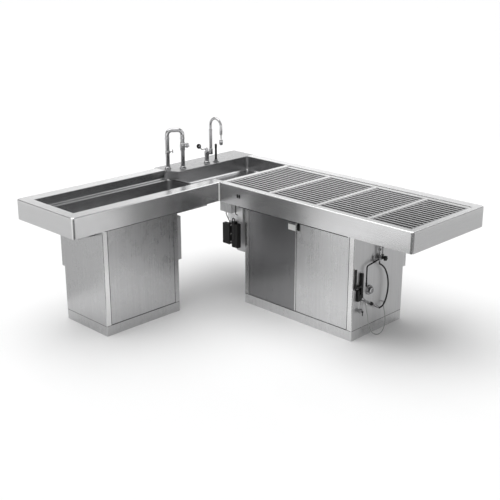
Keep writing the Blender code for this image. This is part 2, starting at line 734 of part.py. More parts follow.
def make_rails():
    for index in range(1, RAIL_COUNT + 1):
        x = rail_x(index)
        blocks(f"cross_rail_{index}", BRUSHED,
               ((x - RAIL_WIDTH / 2, GRATE_Y0, SEAT_Z + GAP), (x + RAIL_WIDTH / 2, GRATE_Y1, SHOULDER_Z)))


def grate_span(index):
    """Left and right ends of a grate, between the rails that it lies between."""
    left = RAIL_X0 if index == 1 else rail_x(index - 1) + RAIL_WIDTH / 2
    right = TRAY_X1 if index > RAIL_COUNT else rail_x(index) - RAIL_WIDTH / 2
    return left + GRATE_CLEAR, right - GRATE_CLEAR


def make_grates():
    """Slotted plates: bars along X between two end bars, all one piece."""
    top, bottom = TOP_Z - GRATE_DROP, SEAT_Z + GAP
    y0, y1 = GRATE_Y0 + GRATE_CLEAR, GRATE_Y1 - GRATE_CLEAR
    pitch = (y1 - y0 - 2 * GRATE_SIDE_BAR) / SLOT_COUNT
    margin = pitch * (1 - SLOT_SHARE) / 2
    for index in range(1, RAIL_COUNT + 2):
        x0, x1 = grate_span(index)
        bm = bmesh.new()
        inner = (x0 + GRATE_END_BAR, x1 - GRATE_END_BAR)
        starts = [y0 + GRATE_SIDE_BAR + pitch * k + margin for k in range(SLOT_COUNT)]
        lines = [y0] + [y for s in starts for y in (s, s + pitch * SLOT_SHARE)] + [y1]
        columns = [x0, *inner, x1]
        grid = {(i, j, z): bm.verts.new((x, y, z))
                for i, x in enumerate(columns) for j, y in enumerate(lines) for z in (bottom, top)}
        last = len(lines) - 1
        for i in range(3):
            for j in range(last):
                if i == 1 and j % 2:
                    continue
                for z in (bottom, top):
                    corners = ((i, j, z), (i + 1, j, z), (i + 1, j + 1, z), (i, j + 1, z))
                    bm.faces.new([grid[corner] for corner in corners])
        edges = [((i, 0), (i + 1, 0)) for i in range(3)] + [((i, last), (i + 1, last)) for i in range(3)]
        edges += [((i, j), (i, j + 1)) for i in (0, 3) for j in range(last)]
        edges += [((1, j), (2, j)) for j in range(1, last)]
        edges += [((i, j), (i, j + 1)) for i in (1, 2) for j in range(1, last, 2)]
        for a, b in edges:
            bm.faces.new([grid[p] for p in ((*a, bottom), (*b, bottom), (*b, top), (*a, top))])
        finish(f"grate_{index}", bm, BRUSHED)


def make_strainers():
    for name, (x, y), z in (("basin_strainer", basin_drain(), DEEP_Z), ("sink_strainer", sink_drain(), SINK_Z)):
        under = z - SHEET
        top = z + GAP + STRAINER_THICK
        plug = DRAIN_RADIUS - GAP * 2
        turned(name, [((x, y, under), plug), ((x, y, z + GAP), plug), ((x, y, z + GAP), STRAINER_FLANGE),
                      ((x, y, top), STRAINER_FLANGE), ((x, y, top), STRAINER_KNOB),
                      ((x, y, top + STRAINER_KNOB_HEIGHT), STRAINER_KNOB)], POLISHED)


def make_waste_pipes():
    """The basin's trap stands in the left cabinet; the sink's pipe runs into the right one."""
    foot = SHEET + GAP
    x, y = basin_drain()
    top = BASIN_UNDER - GAP
    collar = top - WASTE_FLANGE_THICK
    route = bent([(x, y, collar), (x, y, collar - TRAP_DROP), (x + TRAP_DROP, y, collar - TRAP_DROP),
                  (x + TRAP_DROP, y, foot)], WASTE_BEND)
    turned("basin_waste_pipe", [((x, y, top), WASTE_FLANGE), ((x, y, collar), WASTE_FLANGE)]
           + [(point, WASTE_RADIUS) for point in route], PIPE)
    x, y = sink_drain()
    top = SINK_Z - SHEET - GAP
    collar = top - WASTE_FLANGE_THICK
    run = top - SINK_RUN_DROP
    down = RIGHT_CAB_X0 + SINK_DRAIN_X
    bend = WASTE_FLANGE_THICK + WASTE_RADIUS
    route = bent([(x, y, collar), (x, y, run), (down, y, run), (down, y, foot)], bend)
    turned("sink_waste_pipe", [((x, y, top), WASTE_FLANGE), ((x, y, collar), WASTE_FLANGE)]
           + [(point, WASTE_RADIUS) for point in route], PIPE)
    return run, y


# Cabinets

def plinth(name, x0, x1, y0, y1):
    """A folded base: floor, skirts and an inward flange that the panels stand on."""
    base = blocks(name, PANEL, ((x0, y0, 0.0), (x1, y1, PLINTH_HEIGHT)))
    cut_box(base, (x0 + SHEET, y0 + SHEET, SHEET), (x1 - SHEET, y1 - SHEET, PLINTH_HEIGHT - SHEET))
    cut_box(base, (x0 + PLINTH_FLANGE, y0 + PLINTH_FLANGE, PLINTH_HEIGHT / 2),
            (x1 - PLINTH_FLANGE, y1 - PLINTH_FLANGE, PLINTH_HEIGHT + OVERRUN))


def post_outline(x0, x1, y0, side):
    """A wall along X with a post folded round its end, and a rebate behind the panel beside it."""
    t, post = SHEET, POST_WIDTH
    steps = [(x0, 0), (x1, 0), (x1, post), (x1 - t - GAP, post), (x1 - t - GAP, post + REBATE),
             (x1 - t * 2 - GAP, post + REBATE), (x1 - t * 2 - GAP, post - t), (x1 - t, post - t),
             (x1 - t, t), (x0, t)]
    return [(x, y0 + side * along) for x, along in steps][::side]


def make_left_cabinet():
    x0, x1, y0, y1 = LEFT_CAB_X0, LEFT_CAB_X1, LEFT_CAB_Y0, LEFT_CAB_Y1
    t, z0, top = SHEET, PANEL_Z0, LEFT_PANEL_TOP
    plinth("left_plinth", x0, x1, y0, y1)
    for name, side, y, reach in (("left_end_panel", 1, y0, x0), ("left_rear_panel", -1, y1, x0 + t / 2)):
        bm = bmesh.new()
        prism(bm, post_outline(reach, x1, y, side), z0, top)
        panel = finish(name, bm, PANEL)
        post = bmesh.new()
        prism(post, post_outline(DEEP_X1 + SHEET + GAP, x1, y, side), z0 + POST_WIDTH, POST_TOP)
        combine(panel, post, "UNION")
    join_box(panel, (x0, y0 + t + GAP, z0), (x0 + t, y1, top))
    blocks("left_access_panel", PANEL, ((x1 - t, y0 + POST_WIDTH + SEAM, z0 + SEAM),
                                       (x1, y1 - POST_WIDTH - SEAM, POST_TOP)))


def make_right_cabinet(pipe_z, pipe_y):
    x0, x1, y0, y1 = RIGHT_CAB_X0, RIGHT_CAB_X1, RIGHT_CAB_Y0, RIGHT_CAB_Y1
    t, z0 = SHEET, PANEL_Z0
    plinth("right_plinth", x0, x1, y0, y1)
    inner_top = tray_floor(x0) - SHEET - GAP
    panel = blocks("right_inner_panel", PANEL, ((x0, y0, z0), (x0 + t, y1, inner_top)))
    join_box(panel, (x0, y0, z0), (x0 + POST_WIDTH, y0 + t, ROD_TOP))
    reach = POST_WIDTH + SEAM + HINGE_INSET + BRACKET_SIZE / 2
    hole = running_hole(ROD_RADIUS)
    bracket_z = DOOR_TOP + SEAM
    join_box(panel, (x0, y0, bracket_z), (x0 + reach, y0 + BRACKET_SIZE, bracket_z + BRACKET_THICK))
    rod_x, rod_y = hinge_place("left_door")
    cut_round(panel, (rod_x, rod_y, bracket_z - OVERRUN / 4), (rod_x, rod_y, bracket_z + OVERRUN),
              hole, SMALL_SIDES)
    cut_round(panel, (x0 - OVERRUN, pipe_y, pipe_z), (x0 + OVERRUN, pipe_y, pipe_z),
              WASTE_RADIUS + PIPE_CLEAR, HOLE_SIDES)
    end_top = tray_floor(x1 - t) - SHEET - GAP
    panel = blocks("right_end_panel", PANEL, ((x1 - t, y0, z0), (x1, y1, end_top)))
    join_box(panel, (x1 - POST_WIDTH, y0, z0), (x1, y0 + t, ROD_TOP))
    join_box(panel, (x1 - reach, y0, bracket_z), (x1, y0 + BRACKET_SIZE, bracket_z + BRACKET_THICK))
    rod_x, rod_y = hinge_place("right_door")
    cut_round(panel, (rod_x, rod_y, bracket_z - OVERRUN / 4), (rod_x, rod_y, bracket_z + OVERRUN),
              hole, SMALL_SIDES)
    for mouth in thin_spigots():
        elbow = mouth + Vector((0, 0, THIN_SPIGOT_LENGTH))
        root = Vector((x1 - t / 2, elbow.y, elbow.z))
        spigot = bmesh.new()
        sweep(spigot, [(point, THIN_SPIGOT_RADIUS) for point in (root, elbow, mouth)], SMALL_SIDES)
        combine(panel, spigot, "UNION")
    blocks("right_back_panel", PANEL, ((x0 + t + GAP, y1 - t, z0), (x1 - t - GAP, y1, BACK_PANEL_TOP)))


def door_span(name):
    """Hinge edge and free edge of a door."""
    middle = (RIGHT_CAB_X0 + RIGHT_CAB_X1) / 2
    if name == "left_door":
        return RIGHT_CAB_X0 + POST_WIDTH + SEAM, middle - SEAM / 2
    return RIGHT_CAB_X1 - POST_WIDTH - SEAM, middle + SEAM / 2


def hinge_place(name):
    hinge, free = door_span(name)
    side = 1 if free > hinge else -1
    return hinge + side * HINGE_INSET, RIGHT_CAB_Y0 + HINGE_INSET


def make_doors():
    """Folded leaves, open at the back, each turning on a rod through its top and bottom folds."""
    y0, y1 = RIGHT_CAB_Y0, RIGHT_CAB_Y0 + DOOR_THICK
    z0, z1 = PANEL_Z0 + DOOR_FOOT, DOOR_TOP
    for name in ("left_door", "right_door"):
        hinge, free = door_span(name)
        x0, x1 = min(hinge, free), max(hinge, free)
        skin = DOOR_SHEET
        door = blocks(name, PANEL, ((x0, y0, z0), (x1, y1, z1)))
        cut_box(door, (x0 + skin, y0 + skin, z0 + skin), (x1 - skin, y1 + OVERRUN, z1 - skin))
        rod_x, rod_y = hinge_place(name)
        hole = running_hole(ROD_RADIUS)
        cut_round(door, (rod_x, rod_y, z0 - OVERRUN), (rod_x, rod_y, z1 + OVERRUN), hole, SMALL_SIDES)
        if name == "right_door":
            x, z = latch_place()
            hole = running_hole(SPINDLE_RADIUS)
            cut_round(door, (x, y0 - OVERRUN, z), (x, y0 + OVERRUN, z), hole, SMALL_SIDES)
        rod = [((rod_x, rod_y, z), ROD_RADIUS) for z in (PLINTH_HEIGHT + GAP, ROD_TOP)]
        turned(name.replace("door", "hinge_rod"), rod, POLISHED, SMALL_SIDES)


def latch_place():
    return door_span("right_door")[1] + LATCH_INSET, DOOR_TOP - LATCH_DROP


def make_latch():
    """A black turn handle with its spindle through the door's skin and a cam behind the door."""
    x, z = latch_place()
    y0 = RIGHT_CAB_Y0
    cam_y = y0 + DOOR_THICK + GAP
    latch = blocks("door_latch", BLACK, ((x - LATCH_WIDTH / 2, y0 - LATCH_BODY, z - LATCH_HEIGHT / 2),
                                        (x + LATCH_WIDTH / 2, y0 - GAP, z + LATCH_HEIGHT / 2)))
    join_round(latch, (x, y0 - LATCH_BODY / 2, z), (x, cam_y + CAM_THICK / 2, z), SPINDLE_RADIUS, SMALL_SIDES)
    join_box(latch, (x - CAM_WIDTH / 2, cam_y, z - CAM_LENGTH),
             (x + CAM_WIDTH / 2, cam_y + CAM_THICK, z + CAM_WIDTH / 2))


def duct(name, low, high, open_side):
    """A sheet box fixed to a cabinet, open on the side that it is fixed by."""
    box = blocks(name, PANEL, (low, high))
    axis, end = open_side
    inner_low = [low[i] + SHEET for i in range(3)]
    inner_high = [high[i] - SHEET for i in range(3)]
    if end == "low":
        inner_low[axis] = low[axis] - OVERRUN
    else:
        inner_high[axis] = high[axis] + OVERRUN
    cut_box(box, inner_low, inner_high)


def make_ducts():
    back, side = LEFT_PANEL_TOP, DUCT_SETBACK
    duct("left_back_duct", (LEFT_CAB_X0 - DUCT_DEPTH, LEFT_CAB_Y0 + side, DUCT_BOTTOM),
         (LEFT_CAB_X0 - GAP, LEFT_CAB_Y0 + side + DUCT_WIDTH, back), (0, "high"))
    duct("left_inner_duct", (LEFT_CAB_X1 - side - DUCT_WIDTH, LEFT_CAB_Y1 + GAP, DUCT_BOTTOM),
         (LEFT_CAB_X1 - side, LEFT_CAB_Y1 + DUCT_SLIM_DEPTH, back), (1, "low"))
    duct("right_inner_duct", (RIGHT_CAB_X0 - DUCT_WIDE_DEPTH, RIGHT_CAB_Y0 + side, DUCT_BOTTOM),
         (RIGHT_CAB_X0 - GAP, RIGHT_CAB_Y0 + side + DUCT_WIDTH / 2, BACK_PANEL_TOP), (0, "high"))
    duct("right_back_duct", (RIGHT_CAB_X1 - side - DUCT_WIDTH, RIGHT_CAB_Y1 + GAP, DUCT_BOTTOM),
         (RIGHT_CAB_X1 - side, RIGHT_CAB_Y1 + DUCT_DEPTH, BACK_PANEL_TOP), (1, "low"))


# Control gear under the inner corner

def plate_face():
    """Front face of the control plate, which the control boxes hang on."""
    return INNER_Y + BOX_SETBACK + BOX_DEPTH


def make_controls():
    y0, y1 = INNER_Y + BOX_SETBACK, plate_face()
    top = FASCIA_Z - GAP
    x0 = INNER_X + BOX_SETBACK
    box = blocks("junction_box", PANEL, ((x0, y0, top - BOX_HEIGHT), (x0 + BOX_LENGTH, y1 + SHEET, top)))
    join_box(box, (INNER_X + PLATE_START, y1, top - PLATE_DROP),
             (INNER_X + PLATE_START + PLATE_LENGTH, y1 + SHEET, top))
    join_box(box, (INNER_X + STRIP_START, y1, top - STRIP_DROP),
             (INNER_X + STRIP_START + STRIP_LENGTH, y1 + SHEET, top - PLATE_DROP / 2))
    cut_box(box, (x0 + SHEET, y0 + SHEET, top - BOX_HEIGHT + SHEET),
            (x0 + BOX_LENGTH - SHEET, y1, top + OVERRUN))
    gx, gy, gz = gland_place()
    join_round(box, (gx, gy, gz), (gx, gy, top - BOX_HEIGHT + SHEET / 2), GLAND_RADIUS, SMALL_SIDES)
    face = y1 - GAP
    x, depth = INNER_X + CONTROL_START, CONTROL_DEPTH
    blocks("control_box_1", BLACK, ((x, face - depth, CONTROL_TOP - CONTROL_HEIGHT),
                                   (x + CONTROL_WIDTH, face, CONTROL_TOP)))
    x += CONTROL_WIDTH + CONTROL_SPACE
    blocks("control_box_2", BLACK, ((x, face - depth, CONTROL_2_TOP - CONTROL_2_HEIGHT),
                                   (x + CONTROL_2_WIDTH, face, CONTROL_2_TOP)))
    cord("control_cable", cable_route(), CABLE_RADIUS, RUBBER)


def gland_place():
    """Mouth of the gland under the junction box."""
    y = INNER_Y + BOX_SETBACK + BOX_DEPTH / 2
    return INNER_X + GLAND_START, y, FASCIA_Z - GAP - BOX_HEIGHT - GLAND_LENGTH


def cable_route():
    """From the gland down into the top of the first control box."""
    gx, gy, gz = gland_place()
    end_x, end_y = gx + CABLE_SHIFT, plate_face() - CONTROL_DEPTH / 2
    middle = ((gx + end_x) / 2, (gy + end_y) / 2, (gz + CONTROL_TOP) / 2)
    points = [(gx, gy, gz - GAP), (gx, gy, gz - CABLE_LEAD), middle,
              (end_x, end_y, CONTROL_TOP + CABLE_LEAD), (end_x, end_y, CONTROL_TOP + GAP)]
    return smooth_route(points, 5)


def button_box(index, grow):
    """The body of a push button in its slot, or with grow the slot itself."""
    x = INNER_X + BUTTON_START + BUTTON_SPACE * index
    z = TOP_Z - BUTTON_DROP
    return ((x - BUTTON_WIDTH / 2 - grow, INNER_Y - BUTTON_PROUD, z - BUTTON_HEIGHT / 2 - grow),
            (x + BUTTON_WIDTH / 2 + grow, INNER_Y + BUTTON_INSIDE, z + BUTTON_HEIGHT / 2 + grow))


def make_buttons():
    for index in range(2):
        low, high = button_box(index, 0.0)
        blocks(f"switch_button_{index + 1}", BLACK, (low, high))


# Taps on the deck

def make_loop():
    """A pipe loop: up from the deck, over and down again, with a valve on its right leg."""
    x, y = X_LEFT + LOOP_BACK, INNER_Y + LOOP_ALONG
    z, top = TOP_Z + GAP, TOP_Z + LOOP_HEIGHT - LOOP_RADIUS
    x2, y2 = x + LOOP_STEP_X, y + LOOP_STEP_Y
    foot = z + FLANGE_THICK
    route = bent([(x, y, foot), (x, y, top), (x2, y2, top), (x2, y2, foot)], LOOP_BEND, 6)
    first, last = route[0], route[-1]
    valve_top = Vector((x2, y2, TOP_Z + LOOP_VALVE_Z + LOOP_VALVE_LENGTH / 2))
    valve_low = Vector((x2, y2, TOP_Z + LOOP_VALVE_Z - LOOP_VALVE_LENGTH / 2))
    stations = [((x, y, z), FLANGE_RADIUS), (first, FLANGE_RADIUS)]
    stations += [(point, LOOP_RADIUS) for point in route[:-1]]
    stations += [(valve_top, LOOP_RADIUS), (valve_top, LOOP_VALVE_RADIUS)]
    stations += [(valve_low, LOOP_VALVE_RADIUS), (valve_low, LOOP_RADIUS)]
    stations += [(last, LOOP_RADIUS), (last, FLANGE_RADIUS), ((x2, y2, z), FLANGE_RADIUS)]
    turned("loop_pipe", stations, POLISHED)
    make_loop_knob(Vector((x2, y2, TOP_Z + LOOP_VALVE_Z)))
    make_loop_lever(Vector((x, y, TOP_Z + LOOP_LEVER_Z)))


def make_loop_knob(middle):
    """A knob on a stem that leaves the valve towards +Y."""
    out = Vector((0, 1, 0))
    start = middle + out * (LOOP_VALVE_RADIUS + GAP)
    stem = start + out * LOOP_STEM
    end = stem + out * LOOP_KNOB_LENGTH
    places = (start, stem, stem, stem + out * LOOP_KNOB_LENGTH / 3, end)
    stations = [(place, LOOP_KNOB_RADIUS * share) for place, share in zip(places, LOOP_KNOB_SHARES)]
    turned("loop_knob", stations, POLISHED)


def make_loop_lever(middle):
    """A small cock lever on the left leg, reaching towards +Y."""
    out = Vector((0, 1, 0))
    start = middle + out * (LOOP_RADIUS + GAP)
    hub = start + out * LOOP_LEVER_HUB
    end = start + out * LOOP_LEVER_LENGTH
    tip = end - out * LOOP_LEVER_TIP
    places = (start, hub, hub, tip, tip, end)
    radii = [radius for radius in (LOOP_LEVER_HUB, LOOP_LEVER_RADIUS, LOOP_LEVER_TIP) for _ in range(2)]
    turned("loop_lever", list(zip(places, radii)), POLISHED, SMALL_SIDES)


def mixer_place():
    return Vector((X_LEFT + MIXER_BACK, INNER_Y + MIXER_ALONG - MIXER_ARM, TOP_Z + GAP))


def make_mixer():
    base = mixer_place()
    up = Vector((0, 0, 1))
    flange = base + up * FLANGE_THICK
    head = base + up * (MIXER_ARM_Z + MIXER_ARM_RADIUS * 1.3)
    stations = [(base, FLANGE_RADIUS), (flange, FLANGE_RADIUS), (flange, MIXER_RADIUS), (head, MIXER_RADIUS),
                (head, MIXER_HEAD_RADIUS), (base + up * MIXER_HEIGHT, MIXER_HEAD_RADIUS)]
    body = turned("mixer_body", stations, POLISHED)
    arm = base + up * MIXER_ARM_Z
    spout = arm + Vector((0, MIXER_ARM, 0))
    join_round(body, arm, spout + Vector((0, MIXER_HUB_RADIUS / 2, 0)), MIXER_ARM_RADIUS)
    join_round(body, spout - up * MIXER_HUB_RADIUS, spout + up * MIXER_HUB_RADIUS, MIXER_HUB_RADIUS)
    make_mixer_lever(base + up * (MIXER_HEIGHT + GAP))
    make_gooseneck(spout + up * (MIXER_HUB_RADIUS + GAP))


def make_mixer_lever(seat):
    """A long elbow lever: a hub on the mixer's head, an arm towards -Y and a dark paddle."""
    up, out = Vector((0, 0, 1)), Vector((0, -1, 0))
    hub = seat + up * LEVER_RADIUS * 2.6
    lever = turned("mixer_lever", [(seat, MIXER_HEAD_RADIUS), (hub, MIXER_HEAD_RADIUS)], POLISHED)
    middle = seat + up * LEVER_RADIUS * 1.3
    bend = middle + out * LEVER_LENGTH * 0.62
    tip = middle + out * LEVER_LENGTH + up * LEVER_TIP_RISE
    arm = bmesh.new()
    sweep(arm, [(middle, LEVER_RADIUS), (bend, LEVER_RADIUS), (tip, LEVER_RADIUS * 1.4)], SMALL_SIDES)
    combine(lever, arm, "UNION")
    paddle = bmesh.new()
    half = Vector((LEVER_PADDLE_THICK / 2, 0, 0))
    sweep(paddle, [(tip - half, LEVER_PADDLE_RADIUS), (tip + half, LEVER_PADDLE_RADIUS)], SMALL_SIDES)
    combine(lever, paddle, "UNION")


def make_gooseneck(seat):
    """A sleeve, a straight rise, a half-round arch towards the sink and a stepped outlet."""
    up, out = Vector((0, 0, 1)), Vector((1, 0, 0))
    sleeve = seat + up * GOOSE_SLEEVE_LENGTH
    radius = GOOSE_REACH / 2
    centre = Vector((seat.x, seat.y, TOP_Z + GOOSE_TOP - GOOSE_RADIUS - radius)) + out * radius
    arch = [centre - out * radius * cos(t) + up * radius * sin(t) for t in (pi * k / 14 for k in range(15))]
    low = arch[-1] - up * radius / 4
    nozzle = low - up * NOZZLE_LENGTH
    thin = nozzle - up * NOZZLE_THIN_LENGTH
    bulb = thin - up * NOZZLE_BULB_LENGTH
    stations = [(seat, GOOSE_SLEEVE), (sleeve, GOOSE_SLEEVE), (sleeve, GOOSE_RADIUS)]
    stations += [(point, GOOSE_RADIUS) for point in arch]
    stations += [(low, GOOSE_RADIUS), (low, NOZZLE_RADIUS), (nozzle, NOZZLE_RADIUS), (nozzle, NOZZLE_THIN),
                 (thin, NOZZLE_THIN), (thin - up * NOZZLE_BULB_LENGTH / 3, NOZZLE_BULB),
                 (thin - up * NOZZLE_BULB_LENGTH * 0.7, NOZZLE_BULB), (bulb, NOZZLE_RADIUS)]
    turned("gooseneck", stations, POLISHED)


def spray_place():
    return Vector((X_LEFT + SPRAY_BACK, INNER_Y + SPRAY_ALONG, TOP_Z))


def make_hand_spray():
    """A slim black spray that stands in a cup on the deck and lifts out."""
    base, up = spray_place() + Vector((0, 0, SPRAY_SEAT + GAP)), Vector((0, 0, 1))
    top = spray_place() + up * SPRAY_HEIGHT
    turned("hand_spray", [(base, SPRAY_RADIUS), (top - up * SPRAY_RADIUS, SPRAY_RADIUS),
                          (top, SPRAY_RADIUS * SPRAY_TIP_SHARE)], BLACK)


# Water gear on the end face of the right cabinet

def on_face(along, z, stand_off=FACE_CLEAR):
    """A point off the end face, by its distance from the face's front edge and its height."""
    return Vector((RIGHT_CAB_X1 + stand_off, RIGHT_CAB_Y0 + along, z))


def make_supply():
    """A shut-off valve under the tray with two feed pipes, and a bent pipe down beside the gun."""
    valve = on_face(VALVE_ALONG, VALVE_Z)
    half = Vector((0, VALVE_LENGTH / 2, 0))
    body = turned("supply_valve", [(valve - half, VALVE_RADIUS), (valve + half, VALVE_RADIUS)], POLISHED)
    for side in (-0.5, 0.5):
        foot = valve + Vector((0, side * FEED_SPACE, 0))
        head = Vector((foot.x, foot.y, tray_floor(foot.x - FEED_RADIUS) - SHEET - GAP))
        join_round(body, foot, head, FEED_RADIUS, SMALL_SIDES)
        nut = Vector((foot.x, foot.y, FEED_NUT_Z + side * FEED_NUT_LENGTH))
        join_round(body, nut, nut + Vector((0, 0, FEED_NUT_LENGTH)), FEED_NUT_RADIUS, SMALL_SIDES)
    knee = on_face(LOW_PIPE_ALONG, VALVE_Z - FEED_KNEE)
    low = on_face(LOW_PIPE_ALONG, LOW_PIPE_Z)
    pipe = bmesh.new()
    sweep(pipe, [(p, FEED_RADIUS * 0.8) for p in bent([valve, knee, low], LOW_PIPE_BEND)], SMALL_SIDES)
    combine(body, pipe, "UNION")
    stem = valve + Vector((-VALVE_RADIUS / 2, 0, 0))
    join_round(body, stem, Vector((RIGHT_CAB_X1 + GAP, stem.y, stem.z)), VALVE_RADIUS * 0.8, SMALL_SIDES)
    mouth = hose_start()
    join_round(body, Vector((mouth.x, mouth.y, valve.z)), mouth, SPRAY_HOSE_RADIUS * 1.6, SMALL_SIDES)
    out = Vector((1, 0, 0))
    seat = valve + Vector((VALVE_RADIUS + GAP, VALVE_LENGTH / 4, 0))
    places = (seat, seat + out * VALVE_KNOB_LENGTH / 3, seat + out * VALVE_KNOB_LENGTH)
    stations = [(place, VALVE_KNOB_RADIUS * share) for place, share in zip(places, VALVE_KNOB_SHARES)]
    turned("supply_knob", stations, BLACK)


def make_dial():
    out = Vector((1, 0, 0))
    seat = on_face(DIAL_ALONG, DIAL_Z, GAP)
    skirt = seat + out * DIAL_LENGTH / 3
    places = (seat, skirt, skirt, seat + out * DIAL_LENGTH)
    turned("dial_knob", [(place, DIAL_RADIUS * share) for place, share in zip(places, DIAL_SHARES)],
           POLISHED, HOLE_SIDES)


def make_gun():
    """A black spray gun hung on the face: grip, head, inlet, and a trigger lever in front of it."""
    y = RIGHT_CAB_Y0 + GUN_ALONG
    x0 = RIGHT_CAB_X1 + GAP
    gun = blocks("spray_gun", BLACK, ((x0, y - GUN_WIDTH / 2, GUN_Z0),
                                     (x0 + GUN_THICK, y + GUN_WIDTH / 2, GUN_Z1)))
    head_y = RIGHT_CAB_Y0 + GUN_HEAD_ALONG
    join_box(gun, (x0, head_y, GUN_HEAD_Z0), (x0 + GUN_HEAD_THICK, y + GUN_WIDTH / 2 - GAP, TRIGGER_Z0 - GAP))
    start, end = coupling_ends()
    coupling = bmesh.new()
    stations = [(start.lerp(end, along), COUPLING_RADIUS * size) for along, size in COUPLING_SHARES]
    sweep(coupling, stations, SMALL_SIDES)
    combine(gun, coupling, "UNION")
    xm, ty = x0 + GUN_HEAD_THICK / 2, RIGHT_CAB_Y0 + TRIGGER_ALONG
    pivot_y, arm = trigger_pivot()[1], TRIGGER_ARM_RADIUS
    ear_x = xm + TRIGGER_THICK / 2 + GAP
    join_box(gun, (ear_x, pivot_y - EAR_REACH, TRIGGER_ARM_Z - arm),
             (x0 + GUN_THICK - GAP, y - GUN_WIDTH / 2 + GAP, TRIGGER_ARM_Z + arm))
    pin = Vector((ear_x + GAP, pivot_y, TRIGGER_ARM_Z))
    join_round(gun, pin - Vector((TRIGGER_THICK, 0, 0)), pin, PIN_RADIUS, SMALL_SIDES)
    half = TRIGGER_THICK / 2
    trigger = blocks("spray_trigger", BLACK, ((xm - half, ty, TRIGGER_Z0),
                                             (xm + half, ty + TRIGGER_WIDTH, TRIGGER_Z1)))
    join_box(trigger, (xm - half, ty + TRIGGER_WIDTH / 2, TRIGGER_ARM_Z - arm),
             (xm + half, pivot_y + TRIGGER_ARM_END, TRIGGER_ARM_Z + arm))
    cut_round(trigger, pin - Vector((TRIGGER_THICK * 2, 0, 0)), pin + Vector((OVERRUN, 0, 0)),
              running_hole(PIN_RADIUS), SMALL_SIDES)


def trigger_pivot():
    """Point on the trigger's axis, which lies along X in front of the grip."""
    return (RIGHT_CAB_X1 + GUN_HEAD_THICK / 2, RIGHT_CAB_Y0 + GUN_ALONG - GUN_WIDTH / 2 - TRIGGER_PIVOT,
            TRIGGER_ARM_Z)


def coupling_ends():
    """The hose coupling's line, from inside the gun's head down to the hose."""
    return (on_face(COUPLING_ALONG, COUPLING_Z, GUN_HEAD_THICK / 2 + GAP),
            on_face(COUPLING_END_ALONG, COUPLING_END_Z))


def hose_start():
    """Mouth of the valve's outlet, which points down."""
    return on_face(VALVE_ALONG - VALVE_LENGTH / 4, VALVE_Z - VALVE_RADIUS - SPRAY_HOSE_RADIUS)


def make_hoses():
    """The spray hose hangs in an arc from the valve to the gun's coupling; the thin hose loops to the floor."""
    start, (gun, end) = hose_start(), coupling_ends()
    onward = (end - gun).normalized()
    route = [start + Vector((0, 0, drop)) for drop in (-GAP, -HOSE_LEAD / 2, -HOSE_LEAD)]
    route += [on_face(*place) for place in SPRAY_HOSE_ROUTE]
    route += [end + onward * step for step in (HOSE_LEAD, HOSE_LEAD / 2, GAP)]
    cord("spray_hose", smooth_route(route, 4), SPRAY_HOSE_RADIUS, RUBBER)
    first, second = thin_spigots()
    route = [first + Vector((0, 0, drop)) for drop in (-GAP, -HOSE_LEAD / 2, -HOSE_LEAD)]
    route += [on_face(*place) for place in THIN_HOSE_ROUTE]
    route += [second + Vector((0, 0, drop)) for drop in (-HOSE_LEAD, -HOSE_LEAD / 2, -GAP)]
    cord("thin_hose", smooth_route(route, 4), THIN_HOSE_RADIUS, PALE)


def thin_spigots():
    """Mouths of the two spigots that hold the thin hose, both pointing down."""
    return (on_face(THIN_SPIGOT_ALONG, THIN_SPIGOT_Z - THIN_SPIGOT_LENGTH),
            on_face(THIN_SPIGOT_2_ALONG, THIN_SPIGOT_2_Z - THIN_SPIGOT_LENGTH))


def make_cock():
    """A small drain cock on the face, with a thin riser up to the gun's head."""
    place = on_face(COCK_ALONG, COCK_Z)
    half = Vector((0, COCK_LENGTH / 2, 0))
    ends = [(place - half, COCK_RADIUS), (place + half, COCK_RADIUS)]
    cock = turned("drain_cock", ends, POLISHED, SMALL_SIDES)
    join_round(cock, place, Vector((RIGHT_CAB_X1 + GAP, place.y, place.z)), COCK_RADIUS * 0.8, SMALL_SIDES)
    join_round(cock, place, Vector((place.x, place.y, GUN_HEAD_Z0 - GAP)), COCK_PIPE_RADIUS, SMALL_SIDES)
    seat = place + Vector((COCK_RADIUS + GAP, 0, 0))
    hub = COCK_RADIUS * COCK_HUB_SHARE
    ends = [(seat, hub), (seat + Vector((COCK_RADIUS, 0, 0)), hub)]
    handle = turned("cock_handle", ends, POLISHED, SMALL_SIDES)
    middle = seat + Vector((hub, 0, 0))
    join_round(handle, middle, middle + Vector((0, 0, -COCK_HANDLE_LENGTH)), COCK_PIPE_RADIUS, SMALL_SIDES)


make_rims()
make_deck()
make_basin()
make_sink()
make_tray()
make_rails()
make_grates()
make_strainers()
run_z, run_y = make_waste_pipes()
make_left_cabinet()
make_right_cabinet(run_z, run_y)
make_doors()
make_latch()
make_ducts()
make_controls()
make_buttons()
make_loop()
make_mixer()
make_hand_spray()
make_supply()
make_dial()
make_gun()
make_cock()
make_hoses()

nodes = [thing for thing in bpy.data.objects if not thing.hide_render]
print("nodes", len(nodes))
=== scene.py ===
# %% [markdown]
# # Dressing a steel autopsy bench
#
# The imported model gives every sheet, pipe and knob of the bench at its real size. This lesson puts the
# finish on it: brushed and polished stainless steel, rounded folds, taps, hoses and the small fittings
# that show what the bench is. Lengths are metres. +X runs along the grated wing, +Y towards the back.

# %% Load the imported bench
import json
from math import atan2, cos, pi, radians, sin

import bmesh
import bpy
from mathutils import Matrix, Vector

